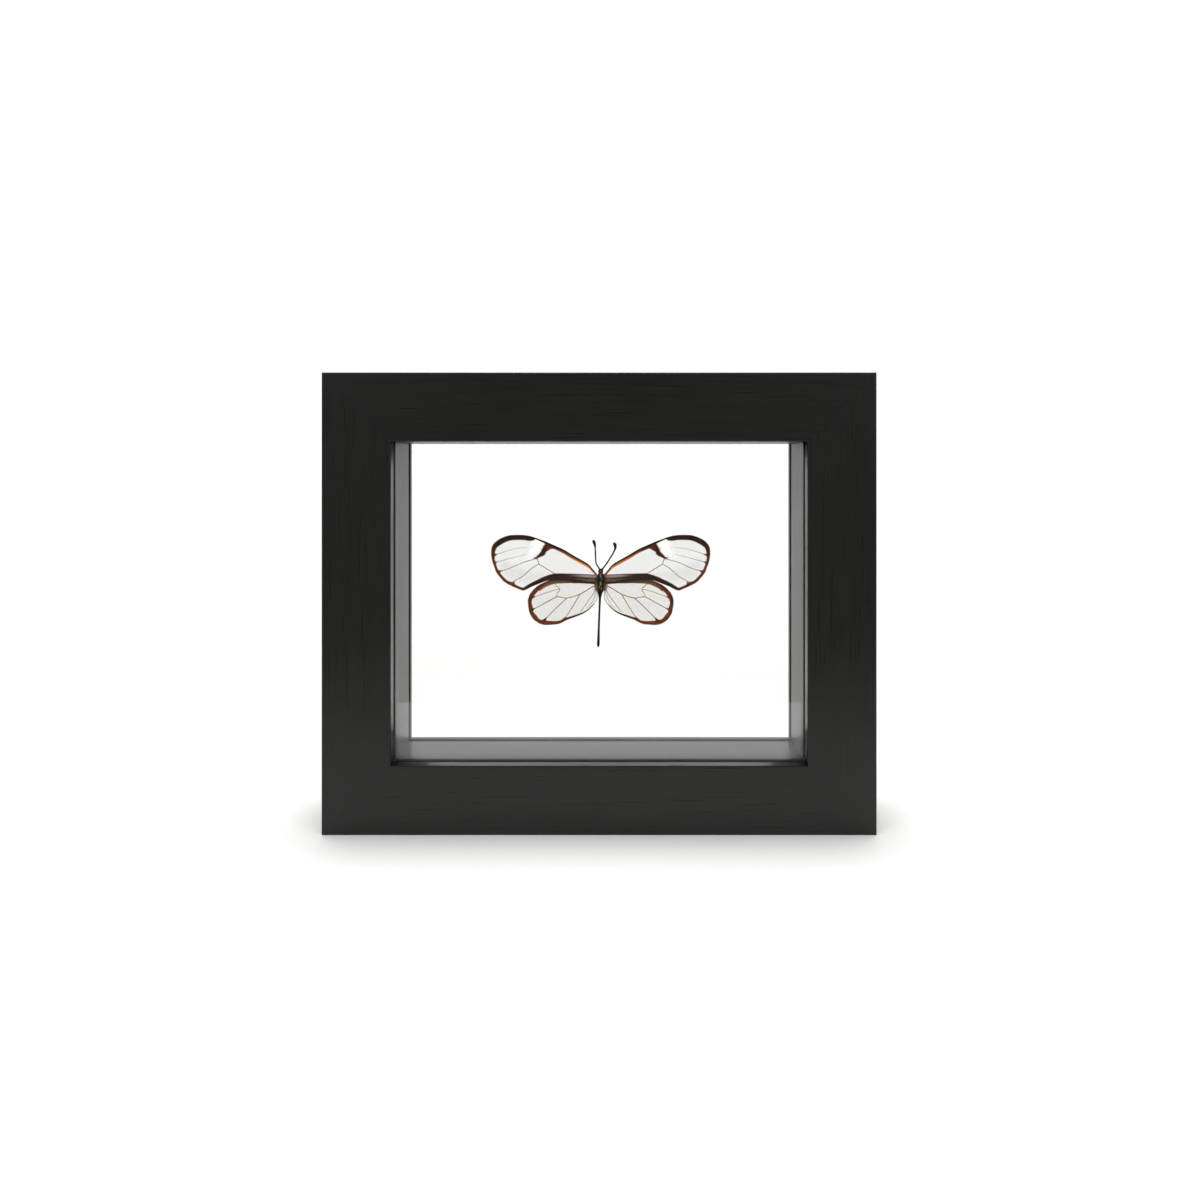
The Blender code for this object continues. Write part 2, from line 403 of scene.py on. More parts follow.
@dataclass(frozen=True)
class WingSkin:
    """Wing membrane: glass-clear chitin where it is bare, opaque where scales cover it.

    It reads the wing's own attributes: pigment is the scales' colour, edge is how many
    millimetres inside a scaled mark the place is, haze is how milky the bare skin is, and bare
    its colour. A thin film gives it a weak rainbow.
    """

    name: str = "dried wing membrane"
    mottle: float = 0.22 * MM  # patches of a few scales, since single ones don't show
    ragged: float = 0.12
    ripple_size: float = 0.35 * MM
    film_nanometres: float = 380.0

    def build(self) -> bpy.types.Material:
        """Makes the material, which lets the view through by its alpha."""
        material, node = empty_material(self.name)
        place = node("ShaderNodeTexCoord").outputs["Object"]
        pigment, bare = (
            node("ShaderNodeAttribute", attribute_name=name).outputs["Color"]
            for name in ("pigment", "bare")
        )
        edge, haze = (
            node("ShaderNodeAttribute", attribute_name=name).outputs["Fac"]
            for name in ("edge", "haze")
        )
        grain = node(
            "ShaderNodeTexNoise", {"Vector": place, "Scale": 1 / self.mottle, "Detail": 2.0}
        ).outputs[0]
        torn = node(
            "ShaderNodeMath", {0: grain, 1: self.ragged * 2, 2: -self.ragged}, operation="MULTIPLY_ADD"
        ).outputs[0]
        inside = node("ShaderNodeMath", {0: edge, 1: torn}, operation="ADD").outputs[0]
        cover = node(
            "ShaderNodeMapRange", {"Value": inside, "From Min": -0.03, "From Max": 0.03}
        ).outputs[0]
        value = node(
            "ShaderNodeMapRange",
            {"Value": grain, "From Min": 0.3, "From Max": 0.7, "To Min": 0.55, "To Max": 1.3},
        ).outputs[0]
        mottled = node(
            "ShaderNodeHueSaturation", {"Color": pigment, "Value": value, "Saturation": 1.1}
        ).outputs[0]
        colour = node("ShaderNodeMix", {0: cover, 6: bare, 7: mottled}, data_type="RGBA").outputs[2]
        fleck = node(
            "ShaderNodeMapRange",
            {"Value": grain, "From Min": 0.3, "From Max": 0.7, "To Min": 0.87, "To Max": 1.13},
        ).outputs[0]
        milky = node("ShaderNodeMath", {0: haze, 1: fleck}, operation="MULTIPLY").outputs[0]
        alpha = node("ShaderNodeMapRange", {"Value": cover, "To Min": milky, "To Max": 1.0}).outputs[0]
        rough = node("ShaderNodeMapRange", {"Value": cover, "To Min": 0.3, "To Max": 0.7}).outputs[0]
        ripple = node(
            "ShaderNodeTexNoise", {"Vector": place, "Scale": 1 / self.ripple_size, "Detail": 2.0}
        ).outputs[0]
        relief = node(
            "ShaderNodeBump", {"Height": ripple, "Strength": 0.4, "Distance": 0.02 * MM}
        ).outputs[0]
        shader = node(
            "ShaderNodeBsdfPrincipled",
            {"Base Color": colour, "Alpha": alpha, "Roughness": rough, "IOR": 1.5, "Normal": relief,
             "Specular IOR Level": 0.05, "Thin Film Thickness": self.film_nanometres,
             "Thin Film IOR": 1.33},
        )
        node("ShaderNodeOutputMaterial", {0: shader.outputs[0]})
        return material


@dataclass(frozen=True)
class ScaleCoat:
    """Dry chitin scales and hair: matt and powdery, each a shade apart from its neighbours.

    It reads the pigment attribute for colour and shade for each scale's own difference.
    """

    name: str
    roughness: float = 0.6
    sheen: float = 0.01
    specular: float = 0.1
    contrast: float = 0.45

    def build(self) -> bpy.types.Material:
        """Makes the material from the stored colours."""
        material, node = empty_material(self.name)
        pigment = node("ShaderNodeAttribute", attribute_name="pigment").outputs["Color"]
        shade = node("ShaderNodeAttribute", attribute_name="shade").outputs["Fac"]
        value = node(
            "ShaderNodeMapRange",
            {"Value": shade, "To Min": 1 - self.contrast, "To Max": 1 + self.contrast},
        ).outputs[0]
        colour = node(
            "ShaderNodeHueSaturation", {"Color": pigment, "Value": value, "Saturation": 1.1}
        ).outputs[0]
        shader = node(
            "ShaderNodeBsdfPrincipled",
            {"Base Color": colour, "Roughness": self.roughness, "IOR": 1.56,
             "Specular IOR Level": self.specular, "Sheen Weight": self.sheen, "Sheen Roughness": 0.4},
        )
        node("ShaderNodeOutputMaterial", {0: shader.outputs[0]})
        return material


@dataclass(frozen=True)
class Cuticle:
    """Hard insect cuticle: dark, slightly waxy chitin with fine pits."""

    name: str
    colour: str
    pale_colour: str
    roughness: float = 0.5
    specular: float = 0.14
    pit_size: float = 0.12 * MM  # real pits are finer; these are as fine as show
    tone_size: float = 0.7 * MM
    relief: float = 0.012 * MM

    def build(self) -> bpy.types.Material:
        """Makes the material from a pitted noise and a slow change of tone."""
        material, node = empty_material(self.name)
        place = node("ShaderNodeTexCoord").outputs["Object"]
        pits = node(
            "ShaderNodeTexNoise", {"Vector": place, "Scale": 1 / self.pit_size, "Detail": 2.0}
        ).outputs[0]
        cloud = node(
            "ShaderNodeTexNoise", {"Vector": place, "Scale": 1 / self.tone_size, "Detail": 2.0}
        ).outputs[0]
        tone = node("ShaderNodeMapRange", {"Value": cloud, "From Min": 0.4, "From Max": 0.7}).outputs[0]
        colour = node(
            "ShaderNodeMix", {0: tone, 6: rgba(self.colour), 7: rgba(self.pale_colour)}, data_type="RGBA"
        ).outputs[2]
        rough = node(
            "ShaderNodeMapRange",
            {"Value": pits, "To Min": self.roughness - 0.1, "To Max": self.roughness + 0.1},
        ).outputs[0]
        relief = node(
            "ShaderNodeBump", {"Height": pits, "Strength": 0.7, "Distance": self.relief}
        ).outputs[0]
        shader = node(
            "ShaderNodeBsdfPrincipled",
            {"Base Color": colour, "Roughness": rough, "Normal": relief, "IOR": 1.56,
             "Specular IOR Level": self.specular},
        )
        node("ShaderNodeOutputMaterial", {0: shader.outputs[0]})
        return material


# ---------------------------------------------------------------- frame


@dataclass(frozen=True)
class FrameSide:
    """One side of the frame: its name, outer length, half the span across, and turn about Y."""

    place: str
    kind: str
    length: float
    half_span: float
    turn: float
    axis: GrainAxis


@dataclass
class MitredFrame:
    """Mouldings, spacers and back stops, one of each on every side, mitred at the corners.

    The CAD strips keep a gap at their mitres. Here the joints close up, because the mouldings
    were filled and lacquered after they were glued.
    """

    eased: float = 0.42 * MM
    lip_back_eased: float = 0.12 * MM
    liner_eased: float = 0.28 * MM
    liner_mitre_eased: float = 0.09 * MM
    joint: float = 0.012 * MM
    segments: int = 5
    finishes: dict[tuple[str, GrainAxis], bpy.types.Material] = field(default_factory=dict)

    def __post_init__(self) -> None:
        """Reads the frame's sizes from the CAD nodes."""
        low, high = CAD_BOX
        self.width, self.height = high.x - low.x, high.z - low.z
        self.front, self.back = low.y, high.y
        rail_low, rail_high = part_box("rail_bottom")
        self.face = rail_high.z - rail_low.z
        spacer_low, spacer_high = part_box("spacer_bottom")
        self.spacer_y = (spacer_low.y, spacer_high.y)
        stop_low, stop_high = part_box("back_stop_bottom")
        self.stop_y = (stop_low.y, stop_high.y)
        self.glass_gap = stop_low.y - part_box("glass_back")[1].y
        self.lip_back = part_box("glass_front")[0].y - self.glass_gap
        self.liner_start = spacer_low.z
        self.rebate_start = spacer_low.z - self.glass_gap

    def sides(self) -> tuple[FrameSide, ...]:
        """The four sides, each drawn as the bottom one and turned into place."""
        quarter = math.pi / 2
        across, up = (self.width, self.height / 2), (self.height, self.width / 2)
        return (
            FrameSide("bottom", "rail", *across, 0.0, GrainAxis.ALONG_X),
            FrameSide("left", "stile", *up, quarter, GrainAxis.ALONG_Z),
            FrameSide("top", "rail", *across, math.pi, GrainAxis.ALONG_X),
            FrameSide("right", "stile", *up, -quarter, GrainAxis.ALONG_Z),
        )

    def moulding_profile(self) -> list[Point]:
        """The L-shaped section: lip, rebate shoulder, rebate wall and back."""
        return [
            (self.front, 0.0), (self.front, self.face), (self.lip_back, self.face),
            (self.lip_back, self.rebate_start), (self.back, self.rebate_start), (self.back, 0.0),
        ]

    def strip_profile(self, depth: tuple[float, float]) -> list[Point]:
        """The rectangular section of a spacer or a back stop."""
        start, end = depth
        return [(start, self.liner_start), (start, self.face), (end, self.face), (end, self.liner_start)]

    def eased_radius(self, y: float, reach: float) -> float:
        """How far a moulding's long edge is rounded, by where it runs."""
        if math.isclose(reach, self.rebate_start, abs_tol=1e-6):
            return 0.0
        if math.isclose(y, self.lip_back, abs_tol=1e-6):
            return self.lip_back_eased
        return self.eased

    def strip(
        self, side: FrameSide, profile: list[Point], radius: Callable, mitre_eased: float
    ) -> bmesh.types.BMesh:
        """Models one mitred strip.

        Args:
            side: the side that it lies on.
            profile: its section, as (y, distance from the frame's outer edge) points.
            radius: gives the rounding of the long edge at (y, reach).
            mitre_eased: the rounding of the edges round its mitred ends.

        Returns:
            The strip, in place.
        """
        half = side.length / 2
        bm = bmesh.new()
        face = bm.faces.new([bm.verts.new((-half, y, reach)) for y, reach in profile])
        pushed = bmesh.ops.extrude_face_region(bm, geom=[face])["geom"]
        moved = [item for item in pushed if isinstance(item, bmesh.types.BMVert)]
        bmesh.ops.translate(bm, vec=(side.length, 0, 0), verts=moved)
        for y, reach in profile:
            if radius(y, reach) > 0:
                here = [
                    edge for edge in bm.edges
                    if all(abs(v.co.y - y) < 1e-6 and abs(v.co.z - reach) < 1e-6 for v in edge.verts)
                ]
                bmesh.ops.bevel(
                    bm, geom=here, affect="EDGES", offset=radius(y, reach), segments=self.segments,
                    profile=0.5, material=-1,
                )
        for end in (-1, 1):
            outward = Vector((end, 0.0, 1.0)).normalized()
            cut = bmesh.ops.bisect_plane(
                bm, geom=bm.verts[:] + bm.edges[:] + bm.faces[:],
                plane_co=Vector((end * half, 0, 0)) - outward * self.joint / 2,
                plane_no=outward, clear_outer=True,
            )["geom_cut"]
            rim = [item for item in cut if isinstance(item, bmesh.types.BMEdge)]
            bmesh.ops.contextual_create(bm, geom=rim)
            if mitre_eased > 0:
                bmesh.ops.bevel(
                    bm, geom=rim, affect="EDGES", offset=mitre_eased, segments=2, profile=0.5, material=-1,
                )
        bmesh.ops.translate(bm, vec=(0, 0, -side.half_span), verts=bm.verts)
        bmesh.ops.rotate(bm, cent=(0, 0, 0), matrix=Matrix.Rotation(side.turn, 3, "Y"), verts=bm.verts)
        bmesh.ops.translate(bm, vec=(0, 0, self.height / 2), verts=bm.verts)
        return bm

    def finish(self, kind: str, axis: GrainAxis) -> bpy.types.Material:
        """The lacquer for mouldings or liners, with its grain along the strip."""
        if (kind, axis) not in self.finishes:
            name = f"satin black lacquered {kind} {axis.value}"
            if kind == "moulding":
                made = SatinLacquer(name, axis)
            else:
                # a shade lighter than the mouldings' lacquer, as painted light for the opening's brighter
                # walls
                made = SatinLacquer(
                    name, axis, colour="1d1d1c", worn_colour="242423", roughness=0.34, specular=0.3
                )
            self.finishes[kind, axis] = made.build()
        return self.finishes[kind, axis]

    def add_strip(self, name: str, bm: bmesh.types.BMesh, finish: bpy.types.Material) -> None:
        """Adds a strip in place of its CAD node, with flat faces that shade flat."""
        obj = add_mesh(f"{name}_lacquered", mesh_of(name, bm, 50.0), finish)
        weigh_normals(obj)
        ride_as_piece(obj, [name])

    def build(self) -> None:
        """Builds all twelve strips."""
        for side in self.sides():
            moulding = self.strip(side, self.moulding_profile(), self.eased_radius, 0.0)
            name = f"{side.kind}_{side.place}"
            self.add_strip(name, moulding, self.finish("moulding", side.axis))
            for kind, depth in (("spacer", self.spacer_y), ("back_stop", self.stop_y)):
                bm = self.strip(
                    side, self.strip_profile(depth), lambda y, reach: self.liner_eased, self.liner_mitre_eased
                )
                name = f"{kind}_{side.place}"
                self.add_strip(name, bm, self.finish("liner", side.axis))
            LOG.info("frame side %s: moulding, spacer and back stop", side.place)


@dataclass
class GlassPanes:
    """The two panes, cut square with their sharp edges stoned off."""

    arris: float = 0.25 * MM
    segments: int = 2

    def build(self) -> None:
        """Builds each pane at its CAD node's size."""
        glass = FloatGlass().build()
        for name in ("glass_front", "glass_back"):
            low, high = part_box(name)
            bm = bmesh.new()
            bmesh.ops.create_cube(bm, size=1.0)
            bmesh.ops.scale(bm, vec=high - low, verts=bm.verts)
            bmesh.ops.translate(bm, vec=(low + high) / 2, verts=bm.verts)
            bmesh.ops.bevel(
                bm, geom=bm.edges[:], affect="EDGES", offset=self.arris, segments=self.segments,
                profile=0.5, material=-1,
            )
            obj = add_mesh(f"{name}_pane", mesh_of(name, bm), glass)
            weigh_normals(obj)
            ride_as_piece(obj, [name])
            LOG.info("pane %s", name)


# ---------------------------------------------------------------- butterfly


class Growth(Enum):
    """What a scatter stands on a surface."""

    SCALE = "scale"
    HAIR = "hair"


@dataclass(frozen=True)
class Scatter:
    """Small closed shapes stood on a surface by Geometry Nodes and then made real.

    The surface's density attribute thins them out, lay is the way that they point, and
    pigment is passed on to them. Each also gets a random shade. Lift is the least and the most
    that they rise from the surface, and sway how far they turn aside, both in degrees.
    """

    growth: Growth
    spacing: float
    length: float
    width: float
    lift: tuple[float, float]
    sway: float
    variation: float = 0.25
    curl: float = 0.25
    seed: int = 1

    def shape(self, node: Callable[..., bpy.types.Node]) -> bpy.types.NodeSocket:
        """Makes the one shape that is repeated: a domed lozenge, or a bent three-sided hair.

        Args:
            node: add_node for the geometry node tree.

        Returns:
            The socket that gives its mesh.
        """
        if self.growth is Growth.SCALE:
            lozenge = node("GeometryNodeMeshUVSphere", {"Segments": 5, "Rings": 2, "Radius": 0.5})
            return node(
                "GeometryNodeTransform",
                {"Geometry": lozenge.outputs[0], "Translation": (self.length * 0.45, 0, 0),
                 "Rotation": (0, 0, math.pi), "Scale": (self.length, self.width, self.width * 0.14)},
            ).outputs[0]
        hair = node(
            "GeometryNodeMeshCone",
            {"Vertices": 3, "Side Segments": 3, "Radius Top": self.width * 0.08,
             "Radius Bottom": self.width / 2, "Depth": self.length},
        )
        place = node("GeometryNodeInputPosition").outputs[0]
        height = node("ShaderNodeSeparateXYZ", {0: place}).outputs[2]
        square = node("ShaderNodeMath", {0: height, 1: height}, operation="MULTIPLY").outputs[0]
        bend = node(
            "ShaderNodeMath", {0: square, 1: self.curl / self.length}, operation="MULTIPLY"
        ).outputs[0]
        offset = node("ShaderNodeCombineXYZ", {0: bend}).outputs[0]
        return node("GeometryNodeSetPosition", {"Geometry": hair.outputs[0], "Offset": offset}).outputs[0]

    def grow(self, name: str, surface: bpy.types.Mesh) -> bpy.types.Mesh:
        """Grows the shapes on a surface.

        Args:
            name: the new mesh's name.
            surface: a mesh with density, lay and pigment attributes.

        Returns:
            A mesh of the shapes alone.
        """
        tree = bpy.data.node_groups.new(name, "GeometryNodeTree")
        for way in ("INPUT", "OUTPUT"):
            tree.interface.new_socket("Geometry", in_out=way, socket_type="NodeSocketGeometry")
        node = partial(add_node, tree)
        start = node("NodeGroupInput").outputs[0]
        density = node(
            "GeometryNodeInputNamedAttribute", {"Name": "density"}, data_type="FLOAT"
        ).outputs[0]
        lay = node(
            "GeometryNodeInputNamedAttribute", {"Name": "lay"}, data_type="FLOAT_VECTOR"
        ).outputs[0]
        # faces with nothing on them go first, because they would take room from the others
        unsown = node(
            "FunctionNodeCompare", {0: density, 1: 0.001}, data_type="FLOAT", operation="LESS_THAN"
        ).outputs[0]
        sown = node(
            "GeometryNodeDeleteGeometry", {"Geometry": start, "Selection": unsown}, domain="FACE"
        ).outputs[0]
        spread = node(
            "GeometryNodeDistributePointsOnFaces",
            {"Mesh": sown, "Distance Min": self.spacing, "Density Max": 1.2 / self.spacing**2,
             "Density Factor": density, "Seed": self.seed},
            distribute_method="POISSON",
        )
        shade = node("FunctionNodeRandomValue", {"Seed": self.seed + 1}, data_type="FLOAT").outputs[1]
        points = node(
            "GeometryNodeStoreNamedAttribute",
            {"Geometry": spread.outputs["Points"], "Name": "shade", "Value": shade},
            data_type="FLOAT",
            domain="POINT",
        ).outputs[0]
        upright = node(
            "FunctionNodeAlignRotationToVector", {"Vector": spread.outputs["Normal"]}, axis="Z"
        ).outputs[0]
        combed = node(
            "FunctionNodeAlignRotationToVector",
            {"Rotation": upright, "Vector": lay},
            axis="X",
            pivot_axis="Z",
        ).outputs[0]
        low, high = (math.radians(angle) for angle in self.lift)
        tilts = (-high, -low) if self.growth is Growth.SCALE else (math.pi / 2 - high, math.pi / 2 - low)
        sway = math.radians(self.sway)
        ruffle = node(
            "FunctionNodeRandomValue",
            {0: (-sway / 2, tilts[0], -sway), 1: (sway / 2, tilts[1], sway), "Seed": self.seed + 2},
            data_type="FLOAT_VECTOR",
        ).outputs[0]
        turn = node("FunctionNodeEulerToRotation", {0: ruffle}).outputs[0]
        rotation = node(
            "FunctionNodeRotateRotation", {"Rotation": combed, "Rotate By": turn}, rotation_space="LOCAL"
        ).outputs[0]
        size = node(
            "FunctionNodeRandomValue",
            {2: 1 - self.variation, 3: 1 + self.variation, "Seed": self.seed + 3},
            data_type="FLOAT",
        ).outputs[1]
        placed = node(
            "GeometryNodeInstanceOnPoints",
            {"Points": points, "Instance": self.shape(node), "Rotation": rotation, "Scale": size},
        ).outputs[0]
        real = node("GeometryNodeRealizeInstances", {"Geometry": placed}).outputs[0]
        node("NodeGroupOutput", {0: real})
        carrier = add_mesh(f"{name}_carrier", surface)
        carrier.modifiers.new("grow", "NODES").node_group = tree
        mesh = bpy.data.meshes.new_from_object(carrier.evaluated_get(bpy.context.evaluated_depsgraph_get()))
        bpy.data.objects.remove(carrier)
        mesh.name = name
        mesh.shade_smooth()
        return mesh


def store(mesh: bpy.types.Mesh, **attributes: Array) -> None:
    """Stores values for each vertex.

    Args:
        mesh: the mesh.
        **attributes: for each attribute, one row for each vertex. A colour is given as red,
            green and blue.
    """
    for name, rows in attributes.items():
        kind = KINDS[name]
        attribute = mesh.attributes.get(name) or mesh.attributes.new(name, kind, "POINT")
        if kind == "FLOAT_COLOR":
            rows = np.column_stack([rows, np.ones(len(rows))])
        attribute.data.foreach_set(PARTS[kind][0], np.asarray(rows, np.float32).ravel())


def stored(mesh: bpy.types.Mesh, name: str) -> Array:
    """Reads back a stored value for each vertex.

    Args:
        mesh: the mesh.
        name: the attribute's name.

    Returns:
        One number for each vertex, or one row of red, green and blue.
    """
    attribute = mesh.attributes[name]
    part, size = PARTS[attribute.data_type]
    values = np.empty(len(mesh.vertices) * size, np.float32)
    attribute.data.foreach_get(part, values)
    return values.reshape(-1, size)[:, :3].squeeze()


def vertices_of(mesh: bpy.types.Mesh) -> Array:
    """The mesh's vertices, as rows of x, y and z."""
    places = np.empty(len(mesh.vertices) * 3, np.float32)
    mesh.vertices.foreach_get("co", places)
    return places.reshape(-1, 3).astype(float)


def tint_along(colours: Sequence[str], along: Array) -> Array:
    """Blends hex colours that are spread evenly from 0 to 1.

    Args:
        colours: the colours in order.
        along: where to read them.

    Returns:
        A linear colour for each place.
    """
    table = np.array([linear(colour) for colour in colours])
    stops = np.linspace(0, 1, len(table))
    return np.column_stack([np.interp(along, stops, table[:, channel]) for channel in range(3)])


def plain_tint(colour: str, count: int) -> Array:
    """One hex colour as a linear row for each of count places."""
    return np.tile(linear(colour), (count, 1))


def covered(ground: Array, tint: Array, weight: Array) -> Array:
    """Lays a tint over the ground's colours, as thickly as each place's weight says."""
    share = weight[:, None]
    return ground * (1 - share) + tint * share


def tube_mesh(name: str, routes: Sequence[tuple[Array, Array]], sides: int) -> bpy.types.Mesh:
    """Makes round tubes with closed ends from curves with a bevel.

    Args:
        name: the mesh's name.
        routes: for each tube, points along its middle and its radius at each, in metres.
        sides: how many sides each tube has, an even number.

    Returns:
        One mesh of all the tubes.
    """
    curve = bpy.data.curves.new(name, "CURVE")
    curve.dimensions = "3D"
    curve.bevel_depth = 1.0
    curve.bevel_resolution = sides // 2 - 2
    curve.use_fill_caps = True
    for places, radii in routes:
        spline = curve.splines.new("POLY")
        spline.points.add(len(places) - 1)
        for point, place, radius in zip(spline.points, places, radii):
            point.co = (*place, 1.0)
            point.radius = radius
    carrier = bpy.data.objects.new(f"{name}_carrier", curve)
    mesh = bpy.data.meshes.new_from_object(carrier)
    bpy.data.objects.remove(carrier)
    bm = bmesh.new()
    bm.from_mesh(mesh)
    bmesh.ops.remove_doubles(bm, verts=bm.verts, dist=1e-8)
    return mesh_of(name, bm, 70.0)


@dataclass(frozen=True)
class Mark:
    """A stripe of coloured scales or hair on a wing or the body, in millimetres.

    Each point of its route is (outward, up, reach), and its colours are spread along it. Soft is
    how far its edge fades to both sides.
    """

    route: tuple[Point, ...]
    colours: tuple[str, ...]
    soft: float = 0.1

    def measure(self, places: Array) -> tuple[Array, Array, Array]:
        """Measures the mark at places on the wing or the body.

        Args:
            places: rows of (outward, up).

        Returns:
            How far inside the mark each place is, how fully the mark covers it, and the mark's
            colour there.
        """
        curve = smooth_curve(self.route, 100)
        gap, along = distance_to(curve[:, :2], places)
        inside = np.interp(along, np.linspace(0, 1, len(curve)), curve[:, 2]) - gap
        return inside, smoothstep(-self.soft, self.soft, inside), tint_along(self.colours, along)


@dataclass(frozen=True)
class Cloud(Mark):
    """A milky place on the bare membrane: a patch sets how milky it is, a veil adds to it."""

    patch: float = 0.0
    veil: float = 0.0


@dataclass(frozen=True)
class Vein:
    """A vein as points on the wing, with its radius at each end, all in millimetres."""

    route: tuple[Point, ...]
    radii: tuple[float, float] = (0.1, 0.078)
    colour: str = "5a2008"


@dataclass(frozen=True)
class WingDesign:
    """The shape and pattern of a right wing, in its own millimetres.

    The leading and trailing margins both start at the body and meet at the far end. Fringed is
    the share of each that has no fringe yet, counted from the body.
    """

    name: str
    leading: tuple[Point, ...]
    trailing: tuple[Point, ...]
    marks: tuple[Mark, ...]
    clouds: tuple[Cloud, ...]
    veins: tuple[Vein, ...]
    grid: tuple[int, int]
    bare_colour: str
    haze: float
    rim_radius: float
    rim_colour: str
    arch: float
    tip_curl: float
    fringed: tuple[float, float]


